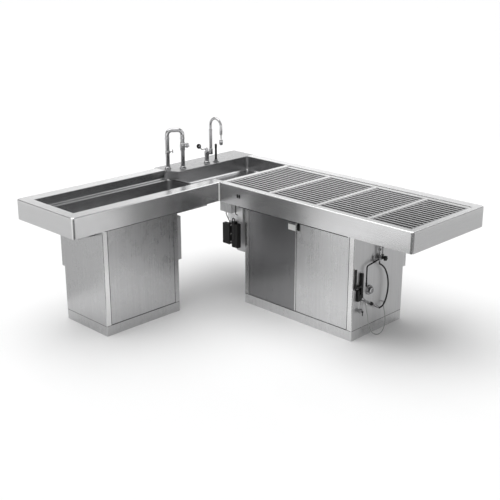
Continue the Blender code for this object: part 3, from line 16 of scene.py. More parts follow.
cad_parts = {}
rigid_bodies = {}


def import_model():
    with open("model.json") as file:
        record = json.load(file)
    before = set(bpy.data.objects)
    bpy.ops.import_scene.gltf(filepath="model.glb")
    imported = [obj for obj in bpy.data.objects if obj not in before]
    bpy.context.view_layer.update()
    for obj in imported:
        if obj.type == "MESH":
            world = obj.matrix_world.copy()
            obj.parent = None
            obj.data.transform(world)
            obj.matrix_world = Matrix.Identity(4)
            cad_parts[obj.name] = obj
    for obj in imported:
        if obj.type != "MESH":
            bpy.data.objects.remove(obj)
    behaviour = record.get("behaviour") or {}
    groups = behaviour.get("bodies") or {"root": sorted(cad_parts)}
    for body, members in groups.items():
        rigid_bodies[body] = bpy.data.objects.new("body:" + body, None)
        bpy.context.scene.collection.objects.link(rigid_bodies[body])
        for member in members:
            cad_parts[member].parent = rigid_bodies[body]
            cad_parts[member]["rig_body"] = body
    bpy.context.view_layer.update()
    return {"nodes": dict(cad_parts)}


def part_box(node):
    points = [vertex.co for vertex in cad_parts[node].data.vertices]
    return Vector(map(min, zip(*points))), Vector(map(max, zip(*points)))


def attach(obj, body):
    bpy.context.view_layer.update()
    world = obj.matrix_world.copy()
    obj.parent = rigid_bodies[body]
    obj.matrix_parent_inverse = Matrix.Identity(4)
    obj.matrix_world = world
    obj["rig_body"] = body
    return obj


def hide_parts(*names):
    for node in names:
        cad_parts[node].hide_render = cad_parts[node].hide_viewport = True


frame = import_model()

X, Y, Z = Vector((1, 0, 0)), Vector((0, 1, 0)), Vector((0, 0, 1))

# %% [markdown]
# ## The camera
#
# A catalogue picture is taken from far off with a long lens, so that upright edges stay nearly upright.
# The place and the lens were found by fitting the bench's own corners to the picture, and the lens is
# written as the focal length in pixels that the fit gives.

# %% Camera
IMAGE_PIXELS = 500
FOCAL_PIXELS = 909.76
SENSOR_MM = 36.0
CAMERA_PLACE = Vector((4.1415, -4.1518, 2.5746))
CAMERA_YAW = 2.3507
CAMERA_PITCH = 0.3199
CAMERA_SHIFT = -0.02

camera_data = bpy.data.cameras.new("catalogue_camera")
camera_data.sensor_width = SENSOR_MM
camera_data.lens = FOCAL_PIXELS * SENSOR_MM / IMAGE_PIXELS
camera_data.shift_y = CAMERA_SHIFT
camera = bpy.data.objects.new("catalogue_camera", camera_data)
camera.location = CAMERA_PLACE
gaze = Vector((cos(CAMERA_YAW) * cos(CAMERA_PITCH), sin(CAMERA_YAW) * cos(CAMERA_PITCH),
               -sin(CAMERA_PITCH)))
camera.rotation_euler = gaze.to_track_quat("-Z", "Y").to_euler()
bpy.context.scene.collection.objects.link(camera)
bpy.context.scene.camera = camera
print("lens:", round(camera_data.lens, 2), "mm")

# %% [markdown]
# ## Sums on sockets
#
# A finish is a sum of small effects: grain, clouding, scuffs, rubbed edges. Written as Python sums they
# stay readable. A Shade wraps one socket and adds a Math node for each sign, and a Finish holds one
# material and adds any other node from its settings and its inputs.

# %% Helpers for materials
class Shade:
    """One output socket that can be used in sums."""

    def __init__(self, finish, socket):
        self.finish = finish
        self.socket = socket

    def sum_node(self, operation, first, second):
        return self.finish.node("ShaderNodeMath", {"operation": operation}, {0: first, 1: second})

    def __add__(self, other):
        return self.sum_node("ADD", self, other)

    def __sub__(self, other):
        return self.sum_node("SUBTRACT", self, other)

    def __mul__(self, other):
        return self.sum_node("MULTIPLY", self, other)

    def __rsub__(self, other):
        return self.sum_node("SUBTRACT", other, self)

    __radd__ = __add__
    __rmul__ = __mul__


class Finish:
    """A material under construction."""

    def __init__(self, name):
        self.material = bpy.data.materials.new(name)
        self.material.use_nodes = True
        self.tree = self.material.node_tree
        self.shader = self.tree.nodes["Principled BSDF"]

    def node(self, kind, settings, inputs, output=0):
        """Adds a node: its settings, or a ramp's stops, come first, then its inputs."""
        made = self.tree.nodes.new(kind)
        for key, setting in settings.items():
            if key == "stops":
                while len(made.color_ramp.elements) < len(setting):
                    made.color_ramp.elements.new(0.5)
                for element, (place, grey) in zip(made.color_ramp.elements, setting):
                    element.position = place
                    element.color = (grey, grey, grey, 1.0)
            else:
                setattr(made, key, setting)
        for key, given in inputs.items():
            self.feed(made.inputs[key], given)
        return Shade(self, made.outputs[output])

    def feed(self, socket, given):
        if isinstance(given, Shade):
            self.tree.links.new(given.socket, socket)
        elif isinstance(given, tuple) and len(given) == 3 and socket.type == "RGBA":
            socket.default_value = (*given, 1.0)
        else:
            socket.default_value = given

    def place(self, scale):
        """Object coordinates, stretched: few waves along the grain, many across it."""
        coords = self.node("ShaderNodeTexCoord", {}, {}, output="Object")
        return self.node("ShaderNodeMapping", {}, {"Vector": coords, "Scale": scale})

    def noise(self, scale, detail=4.0, rough=0.55):
        return self.node("ShaderNodeTexNoise", {}, {"Vector": self.place(scale), "Scale": 1.0,
                                                   "Detail": detail, "Roughness": rough})

    def ramp(self, value, *stops):
        return self.node("ShaderNodeValToRGB", {"stops": stops}, {"Fac": value})

    def blend(self, share, first, second):
        """A colour between two colours."""
        return self.node("ShaderNodeMix", {"data_type": "RGBA"}, {0: share, 6: first, 7: second}, output=2)

    def bump(self, height, strength, distance, below=None):
        inputs = {"Height": height, "Strength": strength, "Distance": distance}
        if below:
            inputs["Normal"] = below
        return self.node("ShaderNodeBump", {}, inputs)

    def finish(self, **sockets):
        """Feeds the shader and returns the material: an underscore stands for a space."""
        for key, given in sockets.items():
            self.feed(self.shader.inputs[key.replace("_", " ")], given)
        return self.material


print("signs that a shade takes: + - *")

# %% [markdown]
# ## Stainless steel
#
# Sheet steel for such benches is brushed: a belt drags fine scratches along the sheet, which smear a
# reflection across the grain. The scratches are a noise with few waves along the grain and hundreds
# across it, and they feed colour, roughness and bump. Broad clouding stands for the slow unevenness of
# a wide sheet, wiped patches for cleaning, and the folds, tagged later as rubbed, are a little brighter
# and smoother than the flats.

# %% Steel finishes
FINE_WAVES = 620.0
BAND_WAVES = 70.0
ALONG_WAVES = 1.6
CLOUD_WAVES = 2.2
WIPE_WAVES = 9.0
CLOUDING = 0.05
EDGE_LIGHT = 1.15


def grain_scale(axis, waves):
    """Waves along each axis for grain that runs along one of them."""
    return tuple(ALONG_WAVES if name in axis else waves for name in "xyz")


def tinted(colour, share, lift=0.0):
    """A colour made darker or lighter."""
    return tuple(min(1.0, c * share + lift) for c in colour)


def steel(name, colour, rough, flat_axis, upright_axis="xy", depth=1.0):
    """Brushed sheet: flat faces have grain along one axis, and upright faces along another."""
    made = Finish(name)
    normal = made.node("ShaderNodeNewGeometry", {}, {}, output="Normal")
    upright = made.node("ShaderNodeSeparateXYZ", {}, {"Vector": normal}, output=2)
    facing_up = made.node("ShaderNodeMath", {"operation": "ABSOLUTE"}, {0: upright})
    lying = made.ramp(facing_up, (0.45, 0.0), (0.55, 1.0))

    def grain(waves, detail):
        return (made.noise(grain_scale(flat_axis, waves), detail) * lying
                + made.noise(grain_scale(upright_axis, waves), detail) * (1.0 - lying))

    fine = grain(FINE_WAVES, 4.0)
    band = grain(BAND_WAVES, 2.0)
    cloud = made.noise((CLOUD_WAVES,) * 3, 2.0)
    wipe = made.ramp(made.noise((WIPE_WAVES,) * 3, 6.0), (0.42, 0.0), (0.66, 1.0))
    rubbed = made.node("ShaderNodeAttribute", {"attribute_name": "rubbed"}, {}, output="Fac")
    tone = fine * 0.30 + band * 0.45 + cloud * 0.25
    spread = made.ramp(tone, (0.35, 0.0), (0.65, 1.0))
    flats = made.blend(spread, tinted(colour, 1.0 - CLOUDING), tinted(colour, 1.0 + CLOUDING))
    base = made.blend(rubbed * 0.8, flats, tinted(colour, EDGE_LIGHT))
    gloss = rough - 0.04 + fine * 0.08 + wipe * 0.03 + rubbed * -0.06
    broad = made.bump(cloud, 0.30 * depth, 0.002)
    lines = made.bump(band, 0.04 * depth, 0.0002, broad)
    relief = made.bump(fine, 0.12 * depth, 0.00005, lines)
    return made.finish(Base_Color=base, Roughness=gloss, Metallic=1.0, Normal=relief)


RIM_STEEL = steel("rim_steel", (0.72, 0.72, 0.725), 0.22, "x", depth=0.7)
WING_STEEL = steel("deck_steel", (0.39, 0.39, 0.395), 0.26, "y")
PAN_STEEL = steel("pan_steel", (0.48, 0.48, 0.485), 0.22, "y")
# Painted shade: the tray under the grates and the sides of their slots are near-black for the shade there.
TRAY_SHADE_STEEL = steel("tray_painted_shade", (0.06, 0.06, 0.06), 0.28, "x")
LEDGE_STEEL = steel("tray_ledge_steel", (0.72, 0.72, 0.72), 0.22, "x")
GRATE_STEEL = steel("grate_steel", (0.42, 0.42, 0.425), 0.20, "x", depth=0.6)
DOOR_STEEL = steel("door_steel", (0.66, 0.66, 0.665), 0.27, "x", "z", depth=0.45)
# Painted shade: the left door is painted much darker than the right door, for the shaded bench it mirrors.
LEFT_DOOR_SHADE_STEEL = steel("left_door_painted_shade", (0.28, 0.28, 0.285), 0.24, "x", "z", depth=0.8)
# Painted shade: the post of the inner panel is painted darker than the posts outside.
INNER_POST_SHADE_STEEL = steel("inner_post_painted_shade", (0.42, 0.42, 0.42), 0.25, "y", "z", depth=0.6)
# Painted highlight: the posts beside the doors and the left door's stile are painted brighter than their
# panels.
POST_HIGHLIGHT_STEEL = steel("post_painted_highlight", (0.78, 0.78, 0.78), 0.22, "y", "z", depth=0.6)
END_STEEL = steel("end_panel_steel", (0.64, 0.64, 0.645), 0.44, "y", "z", depth=0.5)
DUCT_STEEL = steel("duct_steel", (0.60, 0.60, 0.605), 0.46, "x", "z", depth=0.8)
# Painted light: the mounting plate is painted much brighter than the box in front of it.
PLATE_LIGHT_STEEL = steel("mounting_plate_painted_light", (0.93, 0.93, 0.93), 0.40, "x", "z", depth=0.8)
CABINET_STEEL = steel("cabinet_steel", (0.52, 0.52, 0.525), 0.27, "y", "z", depth=0.45)
print("finishes so far:", [m.name for m in bpy.data.materials])

# %% [markdown]
# ## Chrome, plastic and rubber
#
# The taps are polished steel, so they get a low roughness with faint water marks, and a painted dark
# reflection where the surface turns away. It stands for the dark walls of a studio mirrored in the sides
# of a pipe. The gun, the boxes and the knobs are moulded black plastic with a fine spark-eroded grain.
# The hoses are smooth, and the waste pipes are grey plastic.

# %% Other finishes
def polished(name, colour, rough):
    """Polished metal with faint marks and a painted dark reflection where it turns away."""
    made = Finish(name)
    marks = made.ramp(made.noise((60.0, 60.0, 60.0), 6.0, 0.7), (0.50, 0.0), (0.72, 1.0))
    haze = made.noise((14.0, 14.0, 14.0), 3.0)
    glancing = made.node("ShaderNodeLayerWeight", {}, {"Blend": 0.5}, output="Facing")
    face_tint = made.blend(haze, tinted(colour, 0.93), colour)
    # Painted reflection: the colour darkens where the surface turns away from the camera.
    painted_dark_reflection = made.ramp(glancing, (0.25, 0.0), (0.65, 1.0))
    tint = made.blend(painted_dark_reflection, face_tint, tinted(colour, 0.16))
    gloss = rough + marks * 0.10 + haze * 0.04
    wave = made.bump(haze, 0.20, 0.0006)
    return made.finish(Base_Color=tint, Roughness=gloss, Metallic=1.0, Normal=wave)


def moulded(name, colour, rough, grain=900.0, depth=0.25, shine=0.5):
    """Plastic or rubber with a fine grain, scuffs and paler rubbed edges."""
    made = Finish(name)
    pits = made.noise((grain, grain, grain), 2.0)
    scuff = made.ramp(made.noise((45.0, 45.0, 12.0), 6.0, 0.7), (0.55, 0.0), (0.75, 1.0))
    rubbed = made.node("ShaderNodeAttribute", {"attribute_name": "rubbed"}, {}, output="Fac")
    base = made.blend(scuff * 0.25 + rubbed * 0.30, colour, tinted(colour, 0.8, 0.03))
    gloss = rough + pits * 0.08 + scuff * 0.12
    relief = made.bump(pits, depth, 0.0003)
    return made.finish(Base_Color=base, Roughness=gloss, Normal=relief, Metallic=0.0,
                       Specular_IOR_Level=shine)


CHROME = polished("tap_chrome", (0.62, 0.62, 0.63), 0.07)
BOLT_STEEL = polished("bolt_steel", (0.62, 0.62, 0.63), 0.18)
BLACK = moulded("black_moulding", (0.006, 0.006, 0.006), 0.34, shine=0.30)
RUBBER = moulded("hose_rubber", (0.014, 0.014, 0.015), 0.50, 300.0, 0.15, shine=0.35)
PALE_TUBE = moulded("pale_tube", (0.36, 0.37, 0.36), 0.35, 300.0, 0.10)
WASTE_GREY = moulded("waste_pipe_grey", (0.36, 0.37, 0.38), 0.42, 500.0, 0.20)
# Painted highlight: the corner bead is pale for the bright line down the inner corner.
PALE_CORNER_HIGHLIGHT = moulded("corner_painted_highlight", (0.78, 0.78, 0.77), 0.45, 300.0, 0.10)
BLANK_PLATE = moulded("blank_plate_white", (0.80, 0.80, 0.79), 0.30, 400.0, 0.10)
print("finishes in all:", len(bpy.data.materials))

# %% [markdown]

# %% [markdown]
# ## Shapes
#
# The pieces are made from a few operators. A box is a cube put between two corners, a turned part is a
# line of points spun round an axis, and a pipe is a curve with a round section. The outlines of turned
# parts are pairs of millimetres: the distance along the axis, and the radius there.

# %% Helpers for shapes
MERGE = 0.00002


def add_box(bm, low, high):
    """A box between two corners."""
    low, high = Vector(low), Vector(high)
    size = Matrix.Diagonal((*(high - low), 1.0))
    bmesh.ops.create_cube(bm, size=1.0, matrix=Matrix.Translation((low + high) / 2) @ size)


def add_bar(bm, centre, radius, length, segments):
    """An upright round bar about its middle."""
    bmesh.ops.create_cone(bm, cap_ends=True, segments=segments, radius1=radius, radius2=radius,
                          depth=length, matrix=Matrix.Translation(centre))


def capped(line):
    """A profile that is closed to the axis at both ends."""
    end = [] if line[-1][1] == 0 else [(line[-1][0], 0.0)]
    return [(line[0][0], 0.0), *line, *end]


def outline(*pairs):
    """A capped profile in metres, from millimetres."""
    return capped([(along / 1000, radius / 1000) for along, radius in pairs])


def add_turned(bm, base, axis, profile, steps=32, lobes=0, depth=0.0):
    """Spins a line of (distance along the axis, radius) round the axis; lobes wave its radius."""
    axis = axis.normalized()
    side = axis.orthogonal().normalized()
    known = set(bm.verts)
    line = [bm.verts.new(base + axis * along + side * radius) for along, radius in profile]
    edges = [bm.edges.new(pair) for pair in zip(line, line[1:])]
    bmesh.ops.spin(bm, geom=line + edges, cent=base, axis=axis, dvec=(0, 0, 0), angle=2 * pi, steps=steps,
                   use_merge=True, use_duplicate=False)
    bmesh.ops.remove_doubles(bm, verts=[v for v in bm.verts if v not in known], dist=MERGE)
    for vert in [v for v in bm.verts if lobes and v not in known]:
        out = vert.co - base
        centre = base + axis * out.dot(axis)
        turn = atan2(axis.cross(side).dot(out), side.dot(out))
        vert.co = centre + (vert.co - centre) * (1.0 - depth * (0.5 - 0.5 * cos(lobes * turn)))


def round_curve(name, points, radius, rounds):
    """A curve object along points, with a round section and closed ends."""
    curve = bpy.data.curves.new(name, "CURVE")
    curve.dimensions = "3D"
    curve.bevel_depth = radius
    curve.bevel_resolution = rounds
    curve.use_fill_caps = True
    spline = curve.splines.new("POLY")
    spline.points.add(len(points) - 1)
    for point, place in zip(spline.points, points):
        point.co = (*place, 1.0)
    return bpy.data.objects.new(name, curve)


def add_pipe(bm, points, radius, rounds=5):
    """A round pipe along points."""
    path = round_curve("pipe_path", points, radius, rounds)
    curve = path.data
    mesh = bpy.data.meshes.new_from_object(path)
    bm.from_mesh(mesh)
    bpy.data.objects.remove(path)
    bpy.data.curves.remove(curve)
    bpy.data.meshes.remove(mesh)


def rounded_path(points, bend, steps=8):
    """The points of a pipe's centre line, with each corner turned into an arc."""
    path = [Vector(points[0])]
    for before, corner, after in zip(points, points[1:], points[2:]):
        before, corner, after = Vector(before), Vector(corner), Vector(after)
        u, v = (before - corner).normalized(), (after - corner).normalized()
        half = u.angle(v) / 2
        centre = corner + (u + v).normalized() * (bend / sin(half))
        first = corner + u * (bend * cos(half) / sin(half)) - centre
        last = corner + v * (bend * cos(half) / sin(half)) - centre
        path += [centre + first.slerp(last, k / steps).normalized() * bend for k in range(steps + 1)]
    return path + [Vector(points[-1])]


square_turn = rounded_path(((0, 0, 1), (0, 0, 0), (1, 0, 0)), 0.1)
print("a bent pipe's centre line has", len(square_turn), "points")

# %% [markdown]
# ## Edges and pieces
#
# Sharp edges catch no light, so each piece gets its edges bevelled, and the new faces are tagged as
# rubbed for the finish. A finished piece rides on the body of the nodes that it stands for, or on the
# body it is given.

# %% Helpers for pieces
SHARP_ANGLE = radians(30)
SMOOTH_ANGLE = radians(35)


def soften(bm, edges, width, segments=2, tag=True, clamp=True):
    """Bevels edges and tags the new faces as rubbed."""
    if not edges:
        return
    layer = bm.faces.layers.float.get("rubbed") or bm.faces.layers.float.new("rubbed")
    made = bmesh.ops.bevel(bm, geom=edges, offset=width, offset_type="OFFSET", segments=segments,
                           profile=0.5, affect="EDGES", clamp_overlap=clamp, material=-1)
    if tag:
        for face in made["faces"]:
            face[layer] = 1.0


def sharp_edges(bm):
    return [e for e in bm.edges if len(e.link_faces) == 2 and e.calc_face_angle(0.0) > SHARP_ANGLE]


def rounded_box(bm, low, high, radius):
    """A box with all its edges rounded."""
    block = bmesh.new()
    add_box(block, low, high)
    soften(block, list(block.edges), radius, 3, tag=False)
    mesh = bpy.data.meshes.new("rounded_box")
    block.to_mesh(mesh)
    block.free()
    bm.from_mesh(mesh)
    bpy.data.meshes.remove(mesh)


def body_of_node(node):
    return frame["nodes"][node]["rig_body"]


def make_piece(name, bm, finish, *nodes, body="bench", outward=True):
    """A finished mesh as an object that rides on its body and stands for some nodes."""
    if outward:
        bmesh.ops.recalc_face_normals(bm, faces=bm.faces)
    mesh = bpy.data.meshes.new(name)
    bm.to_mesh(mesh)
    bm.free()
    mesh.materials.append(finish)
    mesh.shade_smooth()
    mesh.set_sharp_from_angle(angle=SMOOTH_ANGLE)
    piece = bpy.data.objects.new(name, mesh)
    flat = piece.modifiers.new("flat_faces", "WEIGHTED_NORMAL")
    flat.weight = 100
    flat.keep_sharp = True
    bpy.context.scene.collection.objects.link(piece)
    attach(piece, body_of_node(nodes[0]) if nodes else body)
    if nodes:
        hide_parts(*nodes)
    return piece


print("bodies to ride on:", len({body_of_node(node) for node in frame["nodes"]}))

# %% [markdown]
# ## Places on the bench
#
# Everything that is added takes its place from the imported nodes: the end face of the grated wing's
# cabinet carries the water gear, so its front edge is the start of the measure along it.

# %% Places
END_FACE_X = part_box("right_plinth")[1].x
END_FACE_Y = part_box("right_plinth")[0].y
TOP_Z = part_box("left_front_rim")[1].z
FASCIA_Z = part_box("left_front_rim")[0].z
INNER_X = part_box("left_front_rim")[1].x
INNER_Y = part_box("right_front_rim")[0].y
GAP = 0.0003


def on_face(along, z, stand_off=0.020):
    """A point off the end face, by its distance from the face's front edge and its height."""
    return Vector((END_FACE_X + stand_off, END_FACE_Y + along, z))


def at_height(place, z):
    return Vector((place.x, place.y, z))


def at_wall(place):
    """The point of the end face behind a place, with a gap for the fit."""
    return Vector((END_FACE_X + GAP, place.y, place.z))


print("end face at x", round(END_FACE_X, 4), "front edge y", round(END_FACE_Y, 4))

# %% [markdown]
# ## The hoses and the cable
#
# Three flexible runs hang on the bench. The spray hose leaves the valve downwards, hangs out in an arc
# under its own weight and comes back to the gun's coupling. The thin hose goes from one spigot down to
# the floor and up to the other. The control cable joins the junction box to the first control box.
# Each is one smooth curve through its support points, and its length is what the curve measures.

# %% Hoses and cable
HOSE_LEAD = 0.018
SPRAY_HOSE_RADIUS = 0.0055
THIN_HOSE_RADIUS = 0.003
CABLE_RADIUS = 0.003
HOSE_STEPS = 8
HOSE_ROUNDS = 6
SPRAY_HOSE_START = on_face(0.255, 0.5175)
SPRAY_HOSE_ROUTE = ((0.284, 0.478, 0.025), (0.316, 0.440, 0.028), (0.341, 0.374, 0.032),
                    (0.345, 0.300, 0.034), (0.330, 0.228, 0.032), (0.305, 0.185, 0.027))
COUPLING_START = on_face(0.075, 0.296, 0.0113)
COUPLING_END = on_face(0.262, 0.182)
THIN_SPIGOTS = on_face(0.126, 0.236), on_face(0.322, 0.191)
THIN_HOSE_ROUTE = ((0.128, 0.170, 0.030), (0.134, 0.090, 0.044), (0.160, 0.034, 0.054),
                   (0.214, 0.0065, 0.060), (0.270, 0.014, 0.058), (0.310, 0.060, 0.048),
                   (0.322, 0.120, 0.034))
GLAND_MOUTH = Vector((-0.468, 0.2625, 0.6737))
CABLE_END = Vector((-0.442, 0.2702, 0.594))
CABLE_LEAD = 0.014


def smooth_route(points, steps):
    """Points read from a smooth curve through the given ones."""
    ends = [Vector(p) for p in points]
    ends = [2 * ends[0] - ends[1]] + ends + [2 * ends[-1] - ends[-2]]
    route = []
    for a, b, c, d in zip(ends, ends[1:], ends[2:], ends[3:]):
        for k in range(steps):
            t = k / steps
            route.append((2 * b + (c - a) * t + (2 * a - 5 * b + 4 * c - d) * t * t
                          + (3 * b - a - 3 * c + d) * t ** 3) / 2)
    return route + [Vector(points[-1])]


def hang(name, points, radius, finish):
    """A cord along a smooth route: it replaces the plain tube of the same name."""
    route = smooth_route(points, HOSE_STEPS)
    run = round_curve(f"{name}_run", route, radius, HOSE_ROUNDS)
    run.data.materials.append(finish)
    bpy.context.scene.collection.objects.link(run)
    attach(run, "bench")
    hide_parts(name)
    length = sum((b - a).length for a, b in zip(route, route[1:]))
    print(name, "is", round(length, 3), "m long")


onward = (COUPLING_END - COUPLING_START).normalized()
down = [-Z * drop for drop in (GAP, HOSE_LEAD / 2, HOSE_LEAD)]
spray_points = [SPRAY_HOSE_START + step for step in down]
spray_points += [on_face(*place) for place in SPRAY_HOSE_ROUTE]
spray_points += [COUPLING_END + onward * step for step in (HOSE_LEAD, HOSE_LEAD / 2, GAP)]
hang("spray_hose", spray_points, SPRAY_HOSE_RADIUS, RUBBER)
thin_points = [THIN_SPIGOTS[0] + step for step in down]
thin_points += [on_face(*place) for place in THIN_HOSE_ROUTE]
thin_points += [THIN_SPIGOTS[1] + step for step in reversed(down)]
hang("thin_hose", thin_points, THIN_HOSE_RADIUS, PALE_TUBE)
cable_points = [GLAND_MOUTH - Z * GAP, GLAND_MOUTH - Z * CABLE_LEAD, (GLAND_MOUTH + CABLE_END) / 2,
                CABLE_END + Z * CABLE_LEAD, CABLE_END + Z * GAP]
hang("control_cable", cable_points, CABLE_RADIUS, RUBBER)

# %% [markdown]
# ## The welded rim
#
# The rim of both wings is one folded channel. On the real bench its lengths are welded at the mitres,
# ground and brushed over, and its outer upright corners are rounded. So the six mitred nodes are drawn
# as one channel: a section at each corner, bridged to the next, and then the corners are rounded.

# %% Rim
RIM_EDGE = 0.004
RIM_RETURN = 0.030
RIM_LIP = 0.012
SHEET = 0.0025
CORNER_RADIUS = 0.018
RIM_NODES = ("left_front_rim", "left_end_rim", "left_back_rim", "right_front_rim", "right_end_rim",
             "right_back_rim")
LEFT_BACK_BAND = 0.100
LEFT_END_BAND = 0.075
LEFT_FRONT_BAND = 0.095
RIGHT_FRONT_BAND = 0.045
RIGHT_END_BAND = 0.045
RIGHT_BACK_BAND = 0.075


def rim_section(band):
    """Points across the rim: distance from its outer face, and height."""
    return [(0.0, TOP_Z - RIM_EDGE), (RIM_EDGE, TOP_Z), (band, TOP_Z), (band, TOP_Z - RIM_LIP),
            (band - SHEET, TOP_Z - RIM_LIP), (band - SHEET, TOP_Z - SHEET), (RIM_EDGE, TOP_Z - SHEET),
            (SHEET, TOP_Z - RIM_EDGE), (SHEET, FASCIA_Z + SHEET), (RIM_RETURN, FASCIA_Z + SHEET),
            (RIM_RETURN, FASCIA_Z), (0.0, FASCIA_Z)]


def across(side, step):
    """One side's face and the point of its section at a step."""
    (x, y), (inward_x, inward_y), band = side
    distance, height = rim_section(band)[step]
    return (None if x is None else x + inward_x * distance,
            None if y is None else y + inward_y * distance, height)


def mitre_edges(bm, corners, steps):
    """The mitred corner edges of one skin: its upright edge and the edge over its chamfer."""
    wanted = []
    for x, y, inward_x, inward_y in corners:
        places = [(x + inward_x * step, y + inward_y * step) for step in steps]
        for edge in bm.edges:
            a, b = (v.co for v in edge.verts)
            on_skin = all(any(abs(p.x - q[0]) + abs(p.y - q[1]) < MERGE for q in places) for p in (a, b))
            if on_skin and abs(a.z - b.z) > MERGE:
                wanted.append(edge)
    return wanted


left, deck_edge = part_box("left_back_rim")[0].x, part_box("left_back_rim")[1].y
front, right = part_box("left_end_rim")[0].y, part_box("right_end_rim")[1].x
back, deck_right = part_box("right_back_rim")[1].y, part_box("right_back_rim")[0].x
sides = [((left, None), (1, 0), LEFT_BACK_BAND), ((None, front), (0, 1), LEFT_END_BAND),
         ((INNER_X, None), (-1, 0), LEFT_FRONT_BAND), ((None, INNER_Y), (0, 1), RIGHT_FRONT_BAND),
         ((right, None), (-1, 0), RIGHT_END_BAND), ((None, back), (0, -1), RIGHT_BACK_BAND)]
stations = [(sides[0], deck_edge), *zip(sides, sides[1:]), (sides[-1], deck_right)]
outer = [(left, front, 1, 1), (INNER_X, front, -1, 1), (right, INNER_Y, -1, 1), (right, back, -1, -1)]

bm = bmesh.new()
loops = []
for first, second in stations:
    ring = []
    for step in range(len(rim_section(RIGHT_END_BAND))):
        x, y, z = across(first, step)
        other = (second, second) if isinstance(second, float) else across(second, step)
        ring.append(bm.verts.new((other[0] if x is None else x, other[1] if y is None else y, z)))
    loops.append([bm.edges.new((ring[k], ring[k - 1])) for k in range(len(ring))])
for first, second in zip(loops, loops[1:]):
    bmesh.ops.bridge_loops(bm, edges=first + second)
for end in (loops[0], loops[-1]):
    bmesh.ops.contextual_create(bm, geom=end)
bmesh.ops.recalc_face_normals(bm, faces=bm.faces)
soften(bm, mitre_edges(bm, outer, (0.0, RIM_EDGE)), CORNER_RADIUS, 8, tag=False, clamp=False)
soften(bm, mitre_edges(bm, outer, (SHEET, RIM_EDGE)), CORNER_RADIUS - SHEET, 8, tag=False, clamp=False)
soften(bm, sharp_edges(bm), 0.0007)
bench_rim = make_piece("bench_rim", bm, RIM_STEEL, *RIM_NODES)
print("rim faces:", len(bench_rim.data.polygons))

# %% [markdown]
# ## The bead in the inner corner
#
# Where the two wings meet, one upright bead closes the joint of the fascias. Its pale colour is a painted
# highlight: the bright line of light down the corner. It is a thin upright bar, half sunk in the corner.

# %% Corner bead
CORNER_BEAD_RADIUS = 0.0055
BEAD_FOOT_Z = FASCIA_Z + 0.001
BEAD_HEAD_Z = TOP_Z - 0.004
bm = bmesh.new()
bead_middle = Vector((INNER_X, INNER_Y, (BEAD_FOOT_Z + BEAD_HEAD_Z) / 2))
add_bar(bm, bead_middle, CORNER_BEAD_RADIUS, BEAD_HEAD_Z - BEAD_FOOT_Z, 20)
soften(bm, sharp_edges(bm), 0.0012)
# The bead's pale colour is a painted highlight.
make_piece("corner_bead", bm, PALE_CORNER_HIGHLIGHT)
print("corner bead:", round(BEAD_HEAD_Z - BEAD_FOOT_Z, 4), "m long")

# %% [markdown]
# ## Folded sheets
#
# The pans, panels, doors and ducts have the right shape already, but their folds are knife-sharp. A
# copy of each is merged, its coplanar triangles are dissolved, and every sharp fold gets a small
# radius. The upright inner corners of the pans are welded and ground to a larger one.

# %% Folds
PAN_CORNER = 0.010
SINK_CORNER = 0.020
POST_CORNER = 0.006
FOLD = 0.0009
GRATE_FOLD = 0.0016
LONG_EDGE = 0.030
LEDGE_Z = 0.835
OUTLET_Z = (0.795, 0.822)
PAN_LIP = 0.010
DIVIDER_ZONE = 0.008
END_ZONE = 0.020


def inside_pan(edge):
    """Tests for a fold on a pan's inner side: its faces look up or towards the pan's middle."""
    a, b = (v.co for v in edge.verts)
    low, high = sorted((a.z, b.z))
    in_outlet = low > OUTLET_Z[0] and high < OUTLET_Z[1]
    if edge.calc_length() < LONG_EDGE or low > TOP_Z - PAN_LIP or in_outlet:
        return False
    by_divider = abs(max(a.y, b.y) - INNER_Y) < DIVIDER_ZONE
    if low > LEDGE_Z - MERGE and (by_divider or min(a.x, b.x) > PAN_HIGH.x - END_ZONE):
        return False
    look = edge.link_faces[0].normal + edge.link_faces[1].normal
    if high - low < MERGE:
        return look.z > 0.1
    return look.dot((PAN_LOW + PAN_HIGH) / 2 - (a + b) / 2) > 0.0


def corners_of(node):
    low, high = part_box(node)
    return [(x, y) for x in (low.x, high.x) for y in (low.y, high.y)]


CABINET_CORNERS = corners_of("left_plinth") + corners_of("right_plinth")


def post_corner(edge):
    """Tests for an outer upright corner of a cabinet."""
    a, b = (v.co for v in edge.verts)
    upright = abs(a.x - b.x) + abs(a.y - b.y) < MERGE
    return upright and any(abs(a.x - x) + abs(a.y - y) < MERGE for x, y in CABINET_CORNERS)


def folded(node, finish, *others, fold=FOLD, segments=2, corner=None, radius=POST_CORNER, cut=None):
    """A softened copy of a node that replaces it; some faces may have other finishes."""
    bm = bmesh.new()
    bm.from_mesh(frame["nodes"][node].data)
    bmesh.ops.remove_doubles(bm, verts=bm.verts, dist=MERGE)
    bmesh.ops.dissolve_limit(bm, angle_limit=radians(0.5), verts=bm.verts, edges=bm.edges)
    if cut:
        everything = list(bm.verts) + list(bm.edges) + list(bm.faces)
        bmesh.ops.bisect_plane(bm, geom=everything, plane_co=X * cut, plane_no=X)
    bm.normal_update()
    if corner:
        soften(bm, [e for e in sharp_edges(bm) if corner(e)], radius, 5, tag=False, clamp=False)
    soften(bm, sharp_edges(bm), fold, segments)
    bm.normal_update()
    for index, (other, has_it) in enumerate(others, 1):
        for face in bm.faces:
            if has_it(face):
                face.material_index = index
    piece = make_piece(f"{node}_sheet", bm, finish, node, outward=False)
    for other, has_it in others:
        piece.data.materials.append(other)


print("cabinet corners:", len(CABINET_CORNERS))

# %% [markdown]
# ## Which sheet has which finish
#
# Some sheets have two finishes. The posts beside the doors are brighter than their panel, which is a
# painted highlight, and the post of the inner panel is darker, which is painted shade. The slots of the
# grates are painted dark as their shade, and the narrow sides of the doors are painted black as the shade
# in the gaps round them. A test on each face says where the other finish goes.

